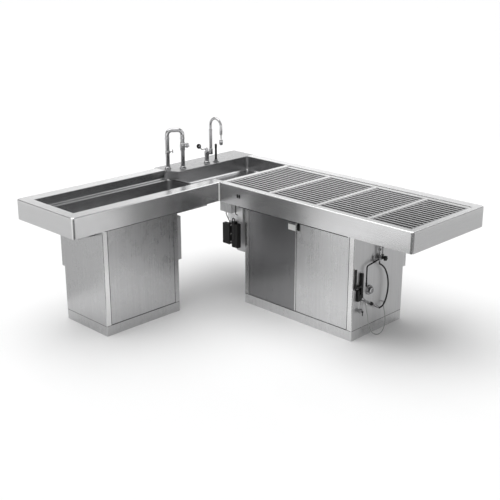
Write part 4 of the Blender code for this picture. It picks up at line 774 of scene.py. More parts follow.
# %% Sheets
STILE = 0.010
PLATE_BACK = 0.015
TRAY_LEDGE_DEPTH = 0.0045
STILE_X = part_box("left_door")[1].x - STILE
PLATE_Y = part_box("junction_box")[0].y + PLATE_BACK


def tray_top(face):
    """Tests for the parts of the tray that lie level with the rim; the rest is painted dark as shade."""
    return face.normal.z > 0.7 and face.calc_center_median().z > TOP_Z - TRAY_LEDGE_DEPTH


def facing_right(face):
    """Tests for the post beside the access panel."""
    return face.normal.x > 0.5


def facing_front(face):
    """Tests for the posts beside the doors."""
    return face.normal.y < -0.5


def door_gap_shade(face):
    """Tests for a door's narrow sides, painted black as the shade in the gaps round the door."""
    return abs(face.normal.y) < 0.3


def highlight_stile(face):
    """Tests for the painted highlight: a bright strip at the closing edge of the left door."""
    return facing_front(face) and face.calc_center_median().x > STILE_X


def mounting_plate(face):
    """Tests for the plate behind the junction box, which is painted lighter than the box as light on it."""
    return facing_front(face) and face.calc_center_median().y > PLATE_Y


def slot_wall(face):
    """Tests for the sides of a grate's slots, painted dark as the shade inside them."""
    return abs(face.normal.z) < 0.5


PAN_COVES = {"left_basin": PAN_CORNER, "corner_sink": SINK_CORNER}
for node, cove in PAN_COVES.items():
    PAN_LOW, PAN_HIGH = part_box(node)
    folded(node, PAN_STEEL, corner=inside_pan, radius=cove, segments=3)
# The tray is painted dark as shade; its ledge at rim level stays bright steel.
folded("drain_tray", TRAY_SHADE_STEEL, (LEDGE_STEEL, tray_top))
# The left door has the painted-shade steel; its stile gets the painted highlight.
folded("left_door", LEFT_DOOR_SHADE_STEEL, (POST_HIGHLIGHT_STEEL, highlight_stile), (RUBBER, door_gap_shade), cut=STILE_X)
# Both doors' narrow sides are painted black as shade in the gaps.
folded("right_door", DOOR_STEEL, (RUBBER, door_gap_shade))
POSTED = (
    ("left_plinth", CABINET_STEEL), ("left_rear_panel", CABINET_STEEL), ("right_plinth", DOOR_STEEL),
    # The posts get the painted highlight, the inner post the painted shade.
    ("left_end_panel", CABINET_STEEL, (POST_HIGHLIGHT_STEEL, facing_right)),
    ("right_inner_panel", END_STEEL, (INNER_POST_SHADE_STEEL, facing_front)),
    ("right_end_panel", END_STEEL, (POST_HIGHLIGHT_STEEL, facing_front)),
)
for node, *finishes in POSTED:
    folded(node, *finishes, corner=post_corner)
PLAIN = (
    (WING_STEEL, ("tap_deck",)), (RIM_STEEL, ("cross_rail_1", "cross_rail_2", "cross_rail_3")),
    (CABINET_STEEL, ("left_access_panel", "left_back_duct")),
    (DUCT_STEEL, ("left_inner_duct", "right_inner_duct")),
    (DOOR_STEEL, ("right_back_duct", "right_back_panel")),
)
for finish, nodes in PLAIN:
    for node in nodes:
        folded(node, finish)
# The mounting plate behind the box gets the painted light.
folded("junction_box", CABINET_STEEL, (PLATE_LIGHT_STEEL, mounting_plate))
for number in range(1, 5):
    # The slot sides of the grates get the painted shade.
    folded(f"grate_{number}", GRATE_STEEL, (TRAY_SHADE_STEEL, slot_wall), fold=GRATE_FOLD, segments=3)

# %% [markdown]
# ## Painted shade in the seams
#
# Thin black bars are painted shade. They stand for the shadow in the seams between each plinth and the
# panels above it, in the seams round the access panel, and in the recess under the two front rims.
# Those along the plinths stand a third of a millimetre proud of the sheet, the others lie back.

# %% Painted shade in the seams
BEAD = 0.0016
BEAD_PROUD = 0.0003
BEAD_DEPTH = 0.0012
BEAD_END = 0.005
SEAM = 0.004
SEAM_BACK = (0.0016, 0.0004)
SHADE_BAR_BACK = 0.001
SHADE_BAR_DEPTH = 0.004
FRONT_SHADE_DROP = 0.006
SIDE_SHADE_DROP = 0.0042


def rim_shade_bars(bm):
    """Black bars of painted shade under the two front rims, over the doors and over the access panel."""
    low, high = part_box("right_plinth")
    add_box(bm, (low.x + BEAD_END, INNER_Y + SHADE_BAR_BACK, FASCIA_Z - FRONT_SHADE_DROP),
            (high.x - BEAD_END, INNER_Y + SHADE_BAR_BACK + SHADE_BAR_DEPTH, FASCIA_Z - GAP))
    low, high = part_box("left_plinth")
    add_box(bm, (INNER_X - SHADE_BAR_BACK - SHADE_BAR_DEPTH, low.y + BEAD_END, FASCIA_Z - SIDE_SHADE_DROP),
            (INNER_X - SHADE_BAR_BACK, high.y - BEAD_END, FASCIA_Z - GAP))


def plinth_shade_beads(bm, node):
    """Four black bars of painted shade along the top edge of a plinth."""
    low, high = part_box(node)
    for wide, lengthwise in ((1, 0), (0, 1)):
        for face, side in ((low[wide], -1), (high[wide], 1)):
            start, end = low.copy(), high.copy()
            start[wide], end[wide] = sorted((face + side * BEAD_PROUD, face - side * BEAD_DEPTH))
            start[lengthwise] += BEAD_END
            end[lengthwise] -= BEAD_END
            add_box(bm, at_height(start, high.z - BEAD), at_height(end, high.z + BEAD))


def access_shade_beads(bm):
    """Black bars of painted shade in the seams round the access panel."""
    low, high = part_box("left_access_panel")
    back, out = (high.x - depth for depth in SEAM_BACK)
    add_box(bm, (back, low.y - SEAM, low.z - SEAM), (out, low.y, high.z))
    add_box(bm, (back, high.y, low.z - SEAM), (out, high.y + SEAM, high.z))
    add_box(bm, (back, low.y, low.z - SEAM), (out, high.y, low.z))


bm = bmesh.new()
# Black bars of painted shade in the seams and under the rims.
rim_shade_bars(bm)
plinth_shade_beads(bm, "left_plinth")
plinth_shade_beads(bm, "right_plinth")
access_shade_beads(bm)
print("sealant beads:", len(bm.faces) // 6)
soften(bm, sharp_edges(bm), 0.0003, 1, tag=False)
make_piece("seam_shade_beads", bm, RUBBER)

# %% [markdown]
# ## Taps
#
# The taps are turned and bent from polished tube. A rosette covers each hole in the deck, and hex nuts
# join the parts: a nut is the same kind of outline, spun in six steps.

# %% Helpers for taps
ROSETTE = outline((0, 26), (3.5, 26), (5, 24.2), (5.5, 20), (14, 19.5), (16.5, 17))
NUT_SIDES = 6
NUT_CHAMFER = 0.12
NUT_FACE = 0.86
ROD_EASE = 0.0006


def add_nut(bm, base, axis, radius, length):
    """A hex nut with chamfered corners."""
    cut = length * NUT_CHAMFER
    face = radius * NUT_FACE
    add_turned(bm, base, axis, capped([(0.0, face), (cut, radius), (length - cut, radius), (length, face)]),
               NUT_SIDES)


def add_ball(bm, centre, radius):
    bmesh.ops.create_uvsphere(bm, u_segments=20, v_segments=12, radius=radius,
                              matrix=Matrix.Translation(centre))


def add_rod(bm, start, end, radius):
    """A round bar with eased ends."""
    axis = end - start
    length = axis.length
    add_turned(bm, start, axis, capped([(0.0, radius - ROD_EASE), (ROD_EASE, radius),
                                        (length - ROD_EASE, radius), (length, radius - ROD_EASE)]), 24)


print("rosette:", round(2000 * max(radius for _, radius in ROSETTE)), "mm wide")

# %% [markdown]
# ## The pipe loop
#
# The left tap is a loop of wide tube. Its right leg carries a valve with a lobed handwheel, and its
# left leg a small cock whose lever turns a quarter. The wheel and the lever are pieces of their own,
# because they ride on bodies that turn.

# %% Pipe loop
LOOP_RADIUS = 0.0155
LOOP_BEND = 0.036
LOOP_LEFT = Vector((-1.082, 0.2355, 0.9003))
LOOP_RIGHT = Vector((-1.012, 0.3275, 0.9003))
LOOP_TOP = 1.198
LOOP_COLLAR_Z = 1.128
LOOP_VALVE_Z = 1.072
LOOP_COCK_Z = 1.028
LOOP_COLLAR = outline((0, 16.2), (1, 17.5), (9, 17.5), (10, 16.2))
LOOP_VALVE = outline((0, 17.5), (3, 19.2), (11, 19.2), (13, 17.2), (15, 17.2), (18, 20.8), (42, 20.8),
                     (45, 17.2), (47, 17.2), (49, 19.2), (57, 19.2), (60, 17.5))
LOOP_COCK = outline((0, 16.5), (2, 17.8), (22, 17.8), (24, 16.5))
SPINDLE_REACH = 0.0210

bm = bmesh.new()
loop_corners = (LOOP_LEFT, at_height(LOOP_LEFT, LOOP_TOP), at_height(LOOP_RIGHT, LOOP_TOP), LOOP_RIGHT)
add_pipe(bm, rounded_path(loop_corners, LOOP_BEND, 12), LOOP_RADIUS, 9)
for leg in (LOOP_LEFT, LOOP_RIGHT):
    add_turned(bm, leg, Z, ROSETTE, 40)
    add_turned(bm, at_height(leg, LOOP_COLLAR_Z), Z, LOOP_COLLAR)
loop_valve = at_height(LOOP_RIGHT, LOOP_VALVE_Z)
add_turned(bm, loop_valve - Z * LOOP_VALVE[-1][0] / 2, Z, LOOP_VALVE, 36)
add_rod(bm, loop_valve, loop_valve + Y * SPINDLE_REACH, 0.0125)
loop_cock = at_height(LOOP_LEFT, LOOP_COCK_Z)
add_turned(bm, loop_cock - Z * LOOP_COCK[-1][0] / 2, Z, LOOP_COCK)
make_piece("loop_pipe_dressed", bm, CHROME, "loop_pipe")
print("loop:", round(LOOP_TOP + LOOP_RADIUS - LOOP_LEFT.z, 4), "m high")

# %% [markdown]
# ## The wheel and the lever of the loop
#
# The wheel has five shallow lobes and starts 0.3 mm off its spindle, so that it turns freely. The
# lever ends in a cross bar with a ball at each end.

# %% Wheel and lever
WHEEL_SEAT = 0.0213
WHEEL_STEM = outline((0, 10.5), (9, 10.5), (11, 6.5), (16.5, 6.5))
WHEEL_STAND_OFF = 0.0140
WHEEL = outline((0, 14.5), (2, 18), (6, 19.9), (15, 19.9), (19, 18.5), (21.5, 14), (21.8, 8), (20.5, 7))
COCK_SEAT = 0.0182
COCK_HUB = outline((-2, 8.5), (7, 8.5), (9, 6))
COCK_ROD = (0.006, 0.033)
CROSS_BAR_REACH = 0.0335
CROSS_BAR_HALF = 0.011
CROSS_BALL_PLACE = 0.0105

bm = bmesh.new()
seat = loop_valve + Y * WHEEL_SEAT
add_turned(bm, seat, Y, WHEEL_STEM, 24)
add_turned(bm, seat + Y * WHEEL_STAND_OFF, Y, WHEEL, 60, lobes=5, depth=0.16)
make_piece("loop_wheel", bm, CHROME, "loop_knob")

bm = bmesh.new()
seat = loop_cock + Y * COCK_SEAT
add_turned(bm, seat, Y, COCK_HUB, 24)
add_rod(bm, seat + Y * COCK_ROD[0], seat + Y * COCK_ROD[1], 0.0034)
tip = seat + Y * CROSS_BAR_REACH
add_rod(bm, tip - Z * CROSS_BAR_HALF, tip + Z * CROSS_BAR_HALF, 0.0036)
for end in (-1, 1):
    add_ball(bm, tip + Z * CROSS_BALL_PLACE * end, 0.0044)
make_piece("loop_cock_lever", bm, CHROME, "loop_lever")
print("cock lever reaches", round(tip.y - loop_cock.y, 4), "m")

# %% [markdown]
# ## The mixer
#
# The right tap is an elbow mixer: the surgeon moves its long lever with the forearm, so its paddle is
# a soft black disc. A side arm ends in the hub of the gooseneck.

# %% Mixer
MIXER_FOOT = Vector((-1.012, 0.5765, 0.9003))
MIXER_BODY = outline((0, 16.5), (58, 16.5), (60, 18), (66, 18), (67, 18.8), (90, 18.8), (92.5, 16.8),
                     (93, 13), (97, 13), (98, 11.8))
MIXER_ARM_Z = 0.078
MIXER_ARM = 0.044
ARM_NUT_PLACE = 0.0195
HUB_RADIUS = 0.015
SPOUT_HUB = outline((0, 12.5), (2, 15), (28, 15), (30, 13.5))
MIXER_LEVER_Z = 0.0983
LEVER_HUB = outline((0, 13.2), (8, 13.2), (12, 11), (14.5, 6), (14.8, 0))
LEVER_RADIUS = 0.004675
LEVER_LENGTH = 0.082
LEVER_RISE = 0.030
LEVER_SEAT = 0.016
LEVER_KNEE = 0.62
LEVER_END_HALF = 0.0068
PADDLE_AXIS = Vector((1.0, -0.15, 0.30))
PADDLE = outline((-5, 16.5), (-3.5, 18.8), (0, 19.4), (3.5, 18.8), (5, 16.5))

bm = bmesh.new()
add_turned(bm, MIXER_FOOT, Z, ROSETTE, 40)
add_turned(bm, MIXER_FOOT, Z, MIXER_BODY, 36)
arm = MIXER_FOOT + Z * MIXER_ARM_Z
spout = arm + Y * MIXER_ARM
add_rod(bm, arm, spout, 0.0095)
add_nut(bm, arm + Y * ARM_NUT_PLACE, Y, 0.0135, 0.009)
add_turned(bm, spout - Z * HUB_RADIUS, Z, SPOUT_HUB)
make_piece("mixer_body_dressed", bm, CHROME, "mixer_body")

bm = bmesh.new()
seat = MIXER_FOOT + Z * MIXER_LEVER_Z
add_turned(bm, seat, Z, LEVER_HUB, 28)
middle = seat + Z * LEVER_SEAT
tip = middle - Y * LEVER_LENGTH + Z * LEVER_RISE
lever_path = rounded_path((middle, middle - Y * LEVER_LENGTH * LEVER_KNEE, tip), 0.018)
add_pipe(bm, lever_path, LEVER_RADIUS, 6)
add_ball(bm, middle, 0.0092)
add_rod(bm, tip - X * LEVER_END_HALF, tip + X * LEVER_END_HALF, 0.0085)
make_piece("mixer_lever_arm", bm, CHROME, "mixer_lever")
bm = bmesh.new()
add_turned(bm, tip, PADDLE_AXIS, PADDLE, 40)
make_piece("mixer_paddle", bm, BLACK, body="mixer_lever")
print("lever reaches", round(middle.y - tip.y, 4), "m")

# %% [markdown]
# ## The gooseneck
#
# The gooseneck swivels over the sink on a long sleeve and ends in a stepped outlet with a small bulb.

# %% Gooseneck
SLEEVE_LENGTH = 0.166
SLEEVE = outline((0, 14.2), (2, 15), (12, 15), (14, 13), (15, 12.4), (158, 12.2), (159, 13.2), (166, 13.2),
                 (167, 10))
GOOSE_RADIUS = 0.0098
GOOSE_REACH = 0.118
GOOSE_TOP_Z = 1.2639
GOOSE_STEPS = 28
OUTLET = outline((0, 9.2), (2, 11), (10, 11), (11, 10.2), (13, 10.2), (14, 11.2), (42, 10.8), (45, 8.5),
                 (47, 5), (80, 5), (83, 8.5), (87, 11.8), (95, 14.6), (105, 15), (116, 13.8), (124, 11),
                 (127, 8.5))

bm = bmesh.new()
seat = spout + Z * (HUB_RADIUS + GAP)
add_turned(bm, seat, Z, SLEEVE)
arch_radius = GOOSE_REACH / 2
arch_centre = Vector((seat.x + arch_radius, seat.y, GOOSE_TOP_Z - GOOSE_RADIUS - arch_radius))
turns = [pi * k / GOOSE_STEPS for k in range(GOOSE_STEPS + 1)]
arch = [arch_centre - X * arch_radius * cos(t) + Z * arch_radius * sin(t) for t in turns]
neck_end = arch[-1] - Z * arch_radius / 4
add_pipe(bm, [seat + Z * SLEEVE_LENGTH] + arch + [neck_end], GOOSE_RADIUS, 7)
add_turned(bm, neck_end, -Z, OUTLET)
make_piece("gooseneck_dressed", bm, CHROME, "gooseneck")
print("outlet ends at z", round(neck_end.z - OUTLET[-1][0], 4))

# %% [markdown]
# ## The hand spray
#
# Beside the mixer a slim black spray stands in a cup. It lifts straight up on a real bench, so it
# rides on its own body. Two grip grooves and a small head are turned into it, and a thin polished
# ring lies round the cup.

# %% Hand spray
SPRAY_FOOT = Vector((-1.001, 0.6645, 0.9043))
SPRAY_BODY = outline((0, 8), (2, 9.3), (30, 9), (32, 8), (36, 8), (38, 9), (92, 8.6), (94, 7.8), (98, 7.8),
                     (100, 9), (126, 9.5), (132, 9), (135.5, 6.8), (135.5, 4.5), (134.5, 4.5))
CUP_RING = ((0.0003, 0.0148), (0.0003, 0.0245), (0.0025, 0.0245), (0.0035, 0.0230), (0.0035, 0.0148),
            (0.0003, 0.0148))
bm = bmesh.new()
add_turned(bm, SPRAY_FOOT, Z, SPRAY_BODY, 28)
make_piece("hand_spray_dressed", bm, BLACK, "hand_spray")
bm = bmesh.new()
add_turned(bm, at_height(SPRAY_FOOT, TOP_Z), Z, CUP_RING, 36)
make_piece("spray_cup_ring", bm, CHROME)
print("spray:", round(1000 * max(along for along, _ in SPRAY_BODY), 1), "mm long")

# %% [markdown]
# ## The supply valve
#
# The end face of the cabinet carries the water gear of the spray gun. Two feeds come down from under
# the tray into a shut-off valve with a black wheel; one dark pipe leaves it towards the gun, and the
# hose leaves it downwards. A small bracket steadies the valve on the face.

# %% Supply valve
VALVE = on_face(0.270, 0.535)
VALVE_HALF = 0.030
VALVE_BODY = outline((0, 10), (1, 11.2), (9, 11.2), (10, 9.8), (13, 9.8), (15, 12), (45, 12), (47, 9.8),
                     (50, 9.8), (51, 11.2), (59, 11.2), (60, 10))
VALVE_PLATE = outline((0, 16), (1.5, 16), (3, 14))
FEED_SPACE = 0.032
FEED_RADIUS = 0.0055
FEED_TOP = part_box("supply_valve")[1].z
FEED_NUTS = (0.593, 0.607)
VALVE_NUT_RISE = 0.013
BRACKET = on_face(0.2035, 0.543, 0.0)
BRACKET_CORNERS = Vector((GAP, -0.0035, -0.021)), Vector((0.0135, 0.0035, 0.021))
STAY_ENDS = Vector((0.009, 0, -0.006)), Vector((-0.011, -0.026, -0.014))
LOW_PIPE_ROUTE = VALVE, on_face(0.118, 0.515), on_face(0.118, 0.372)
LOW_PIPE_BEND = 0.015
LOW_PIPE_RADIUS = 0.0048
LOW_PIPE_SLEEVE = 0.026
SUPPLY_WHEEL_SEAT = Vector((0.0123, 0.015, 0))
SUPPLY_WHEEL = outline((0, 9), (4, 9.5), (6, 16.5), (9, 18.9), (16, 18.9), (19.5, 17), (21.8, 12),
                       (21.5, 7), (20, 6))

bm = bmesh.new()
add_turned(bm, VALVE - Y * VALVE_HALF, Y, VALVE_BODY, 28)
for side, nut_z in zip((-0.5, 0.5), FEED_NUTS):
    foot = VALVE + Y * side * FEED_SPACE
    add_rod(bm, foot, at_height(foot, FEED_TOP), FEED_RADIUS)
    add_nut(bm, at_height(foot, nut_z), Z, 0.0102, 0.014)
    add_nut(bm, foot + Z * VALVE_NUT_RISE, Z, 0.0095, 0.012)
add_rod(bm, at_wall(VALVE), VALVE, 0.0090)
add_turned(bm, at_wall(VALVE), X, VALVE_PLATE, 28)
add_rod(bm, at_height(SPRAY_HOSE_START, VALVE.z), SPRAY_HOSE_START, 0.0086)
bracket_bm = bmesh.new()
add_box(bracket_bm, BRACKET + BRACKET_CORNERS[0], BRACKET + BRACKET_CORNERS[1])
soften(bracket_bm, sharp_edges(bracket_bm), 0.0012)
add_rod(bracket_bm, BRACKET + STAY_ENDS[0], VALVE + STAY_ENDS[1], 0.0022)
make_piece("valve_bracket", bracket_bm, CABINET_STEEL)
make_piece("supply_valve_dressed", bm, CHROME, "supply_valve")

bm = bmesh.new()
add_pipe(bm, rounded_path(LOW_PIPE_ROUTE, LOW_PIPE_BEND), LOW_PIPE_RADIUS, 6)
add_rod(bm, LOW_PIPE_ROUTE[-1], LOW_PIPE_ROUTE[-1] + Z * LOW_PIPE_SLEEVE, 0.0064)
make_piece("low_pipe", bm, RUBBER)
bm = bmesh.new()
add_turned(bm, VALVE + SUPPLY_WHEEL_SEAT, X, SUPPLY_WHEEL, 60, lobes=6, depth=0.14)
make_piece("supply_wheel", bm, BLACK, "supply_knob")
print("feeds:", round(FEED_TOP - VALVE.z, 4), "m long")

# %% [markdown]
# ## The thermostat dial
#
# A polished dial on a flat rosette sets the water's warmth. Its grip is fluted, so that a wet glove
# can turn it, which here is a wave on the spun shape.

# %% Dial
DIAL = on_face(0.175, 0.328, GAP)
DIAL_PLATE = outline((0, 33.5), (6, 33.8), (8.5, 32.5), (9.3, 30))
DIAL_GRIP = outline((8, 22.5), (10.5, 24), (23, 22.2), (26.2, 20.5), (27.8, 17), (27.8, 12), (26.8, 11))
DIAL_FLUTES = 12
bm = bmesh.new()
add_turned(bm, DIAL, X, DIAL_PLATE, 48)
add_turned(bm, DIAL, X, DIAL_GRIP, 96, lobes=DIAL_FLUTES, depth=0.07)
make_piece("dial_dressed", bm, CHROME, "dial_knob")
print("dial:", DIAL_FLUTES, "flutes")

# %% [markdown]
# ## The grip of the spray gun
#
# The gun hangs head down on the face. Its grip is a black moulding with ribs, which are made by
# cutting the bar into slices and drawing some of the cuts in.

# %% Ribbed grip
GUN_Y = END_FACE_Y + 0.080
GUN_LOW = Vector((END_FACE_X + GAP, GUN_Y - 0.012, 0.300))
GUN_HIGH = Vector((END_FACE_X + GAP + 0.020, GUN_Y + 0.011, 0.472))
GUN_CORNER = 0.0055
GUN_GROOVES = [0.336 + 0.0125 * k for k in range(10)]
GUN_GROOVE_HALF = 0.0022
GUN_GROOVE_SCALE = 0.93


def ribbed_grip(low, high):
    """A rounded bar with grooves round it."""
    bm = bmesh.new()
    add_box(bm, low, high)
    upright = [e for e in bm.edges if abs(e.verts[0].co.z - e.verts[1].co.z) > GUN_CORNER]
    soften(bm, upright, GUN_CORNER, 4, tag=False)
    for groove in GUN_GROOVES:
        for z in (groove - GUN_GROOVE_HALF, groove, groove + GUN_GROOVE_HALF):
            everything = list(bm.verts) + list(bm.edges) + list(bm.faces)
            bmesh.ops.bisect_plane(bm, geom=everything, plane_co=Z * z, plane_no=Z)
    ring = [v for v in bm.verts if any(abs(v.co.z - groove) < MERGE for groove in GUN_GROOVES)]
    shrink = Vector((GUN_GROOVE_SCALE, GUN_GROOVE_SCALE, 1))
    bmesh.ops.scale(bm, vec=shrink, verts=ring, space=Matrix.Translation(-(low + high) / 2))
    ends = [e for e in sharp_edges(bm)
            if all(min(v.co.z - low.z, high.z - v.co.z) < MERGE for v in e.verts)]
    soften(bm, ends, 0.003, 3, tag=False)
    return bm


gun = ribbed_grip(GUN_LOW, GUN_HIGH)
print("grip faces:", len(gun.faces))

# %% [markdown]
# ## The head, the trigger and the coupling
#
# The trigger is a long lever in front of the grip, and a link with a pin joins the two. The hose
# arrives through a polished coupling with a black swivel bead. The outlines along the coupling count
# their distance as a share of its length.

# %% Spray gun
HEAD_LOW = Vector((END_FACE_X + GAP, END_FACE_Y + 0.036, 0.280))
HEAD_HIGH = Vector((END_FACE_X + GAP + 0.018, GUN_Y + 0.0147, 0.326))
LINK_LOW = HEAD_LOW + Z * 0.030
LINK_HIGH = Vector((END_FACE_X + GAP + 0.016, END_FACE_Y + 0.058, 0.362))
TRIGGER_PIN = Vector((END_FACE_X + 0.011, END_FACE_Y + 0.054, 0.386))
PIN_ENDS = (-0.0065, 0.0078)
EAR_X = END_FACE_X + 0.0183
EAR_HALF = 0.0078
EAR_REACH = 0.008
COUPLING = ((0.0, 0.0100), (0.05, 0.0100), (0.06, 0.0112), (0.13, 0.0112), (0.14, 0.0100), (0.20, 0.0100),
            (0.215, 0.0080), (0.22, 0.0052), (0.55, 0.0050))
SWIVEL_BEAD = ((0.54, 0.0080), (0.555, 0.0112), (0.59, 0.0125), (0.625, 0.0125), (0.65, 0.0108),
               (0.665, 0.0070))
FERRULE = ((0.65, 0.0050), (0.735, 0.0050), (0.74, 0.0074), (0.80, 0.0080), (0.81, 0.0070), (0.83, 0.0070),
           (0.84, 0.0080), (0.90, 0.0080), (0.91, 0.0070), (0.93, 0.0070), (0.94, 0.0080), (0.99, 0.0080),
           (1.0, 0.0070))
BLADE_DEPTH = 0.015
BLADE_FALL = 0.002
YOKE_START = 0.008
YOKE_HALF = 0.008


def along_coupling(bm, shares):
    way = COUPLING_END - COUPLING_START
    profile = [(share * way.length, radius) for share, radius in capped(shares)]
    add_turned(bm, COUPLING_START, way, profile, 28)


pin_y, pin_z = TRIGGER_PIN.yz
rounded_box(gun, HEAD_LOW, HEAD_HIGH, 0.004)
rounded_box(gun, LINK_LOW, LINK_HIGH, 0.004)
rounded_box(gun, (EAR_X, pin_y - EAR_REACH, pin_z - EAR_HALF),
            (GUN_HIGH.x - GAP, GUN_LOW.y + 0.002, pin_z + EAR_HALF), 0.0016)
add_rod(gun, TRIGGER_PIN + X * PIN_ENDS[0], TRIGGER_PIN + X * PIN_ENDS[1], 0.0030)
along_coupling(gun, SWIVEL_BEAD)
make_piece("spray_gun_dressed", gun, BLACK, "spray_gun")

bm = bmesh.new()
along_coupling(bm, COUPLING)
along_coupling(bm, FERRULE)
make_piece("gun_coupling", bm, CHROME)

bm = bmesh.new()
low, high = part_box("spray_trigger")
rounded_box(bm, low, (high.x - BLADE_FALL, low.y + BLADE_DEPTH, high.z), 0.0045)
rounded_box(bm, (low.x, low.y + YOKE_START, pin_z - YOKE_HALF), (high.x, high.y, pin_z + YOKE_HALF), 0.0030)
make_piece("spray_trigger_dressed", bm, BLACK, "spray_trigger")
print("coupling:", round((COUPLING_END - COUPLING_START).length, 4), "m long")

# %% [markdown]
# ## The drain cock
#
# Below the gun a small cock with a quarter-turn lever lets the line run empty.

# %% Drain cock
COCK = on_face(0.066, 0.208)
COCK_HALF = 0.015
COCK_BODY = outline((0, 9), (1, 10), (7, 10), (8, 8.5), (10, 11), (20, 11), (22, 8.5), (23, 10), (29, 10),
                    (30, 9))
COCK_NUT_RISE = 0.009
COCK_LEVER_SEAT = 0.0113
COCK_LEVER_HUB = outline((0, 6.4), (8, 6.4), (10.5, 4.5), (10.8, 0))
COCK_LEVER = Vector((0.0035, -0.0038, -0.030)), Vector((0.0085, 0.0038, 0.002))

bm = bmesh.new()
add_turned(bm, COCK - Y * COCK_HALF, Y, COCK_BODY, 24)
add_rod(bm, at_wall(COCK), COCK, 0.0086)
add_rod(bm, COCK, at_height(COCK, HEAD_LOW.z - GAP), 0.0038)
add_nut(bm, COCK + Z * COCK_NUT_RISE, Z, 0.0075, 0.009)
make_piece("drain_cock_dressed", bm, CHROME, "drain_cock")
bm = bmesh.new()
seat = COCK + X * COCK_LEVER_SEAT
add_turned(bm, seat, X, COCK_LEVER_HUB, 20)
rounded_box(bm, seat + COCK_LEVER[0], seat + COCK_LEVER[1], 0.0018)
make_piece("cock_lever", bm, BLACK, "cock_handle")
print("cock lever hangs to z", round(seat.z + COCK_LEVER[0].z, 4))

# %% [markdown]
# ## The latch and the blank plate
#
# A black quarter-turn latch closes the doors: a plate, a grip on it and, behind the door, a cam on
# the spindle. A blank enamelled plate sits beside it.

# %% Latch and blank plate
DOOR_FACE = END_FACE_Y
LATCH = Vector(((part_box("door_latch")[0].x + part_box("door_latch")[1].x) / 2, DOOR_FACE, 0.701))
LATCH_PLATE = Vector((-0.008, -0.0055, -0.0275)), Vector((0.009, -GAP, 0.0275))
LATCH_GRIP = Vector((-0.0065, -0.0139, -0.021)), Vector((0.0065, -0.004, 0.021))
SPINDLE_ENDS = (-0.003, 0.0203)
LATCH_CAM = Vector((-0.006, 0.0183, -0.040)), Vector((0.006, 0.0213, 0.006))
PLATE_LOW = Vector((0.108, DOOR_FACE - 0.0012, 0.666))
PLATE_HIGH = Vector((0.1755, DOOR_FACE - 0.0001, 0.707))

bm = bmesh.new()
rounded_box(bm, LATCH + LATCH_PLATE[0], LATCH + LATCH_PLATE[1], 0.0024)
rounded_box(bm, LATCH + LATCH_GRIP[0], LATCH + LATCH_GRIP[1], 0.0022)
add_rod(bm, LATCH + Y * SPINDLE_ENDS[0], LATCH + Y * SPINDLE_ENDS[1], 0.0048)
add_box(bm, LATCH + LATCH_CAM[0], LATCH + LATCH_CAM[1])
make_piece("door_latch_dressed", bm, BLACK, "door_latch")

bm = bmesh.new()
add_box(bm, PLATE_LOW, PLATE_HIGH)
soften(bm, [e for e in bm.edges if abs(e.verts[0].co.y - e.verts[1].co.y) > MERGE], 0.003, 4, tag=False)
soften(bm, [e for e in sharp_edges(bm) if all(v.co.y < PLATE_LOW.y + MERGE for v in e.verts)], 0.0004)
make_piece("blank_plate", bm, BLANK_PLATE, body=body_of_node("left_door"))
print("blank plate:", [round(size, 4) for size in PLATE_HIGH - PLATE_LOW])

# %% [markdown]
# ## The control boxes
#
# Under the inner corner hang two black control boxes, mouldings with a lid, so a groove runs round
# each. The second has a slim column with five raised keys at its left side. Bright screws stand
# between them, a wire loop lies over the second one, and an angled rod hangs beside the junction box.

# %% Control boxes
LID_GROOVE = 0.0012
LID_SHARE = 0.4
BOX_INSET = Vector((0.003, 0.003, 0.003))
KEY_HEIGHTS = [0.022 + 0.034 * k for k in range(5)]
KEY_HEIGHT = 0.012
SCREW_X = -0.4195
SCREW_HEIGHTS = (0.587, 0.521, 0.4615)
SCREW = outline((0, 5.2), (26.5, 5.2), (28.5, 4), (29, 0))


def make_control_box(node, narrower, column=0.0, lower=0.0):
    """A moulded box with a lid groove, and where asked a slimmer column at its left side."""
    low, high = (corner.copy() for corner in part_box(node))
    high.x -= narrower
    seam = low.y + (high.y - low.y) * LID_SHARE
    box_low, box_high = low + X * column, high - Z * lower
    bm = bmesh.new()
    rounded_box(bm, (box_low.x, seam + LID_GROOVE / 2, box_low.z), box_high, 0.0028)
    rounded_box(bm, box_low, (high.x, seam - LID_GROOVE / 2, box_high.z), 0.0028)
    add_box(bm, box_low + BOX_INSET, box_high - BOX_INSET)
    if column:
        rounded_box(bm, low, (box_low.x - 0.001, high.y - 0.004, high.z), 0.0022)
        for z in (low.z + height for height in KEY_HEIGHTS):
            rounded_box(bm, (low.x + 0.004, low.y + 0.002, z),
                        (box_low.x + 0.004, high.y - 0.008, z + KEY_HEIGHT), 0.0018)
    make_piece(f"{node}_dressed", bm, BLACK, node)


make_control_box("control_box_1", 0.014)
make_control_box("control_box_2", 0.030, 0.032, 0.012)
bm = bmesh.new()
for z in SCREW_HEIGHTS:
    add_turned(bm, Vector((SCREW_X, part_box("control_box_1")[1].y - 0.001, z)), -Y, SCREW, 16)
make_piece("control_screws", bm, LEDGE_STEEL)
print("screws:", len(SCREW_HEIGHTS))

# %% [markdown]
# ## The wire loop and the angled rod
#
# Both are bent from thin dark rod, along the corners of their path.

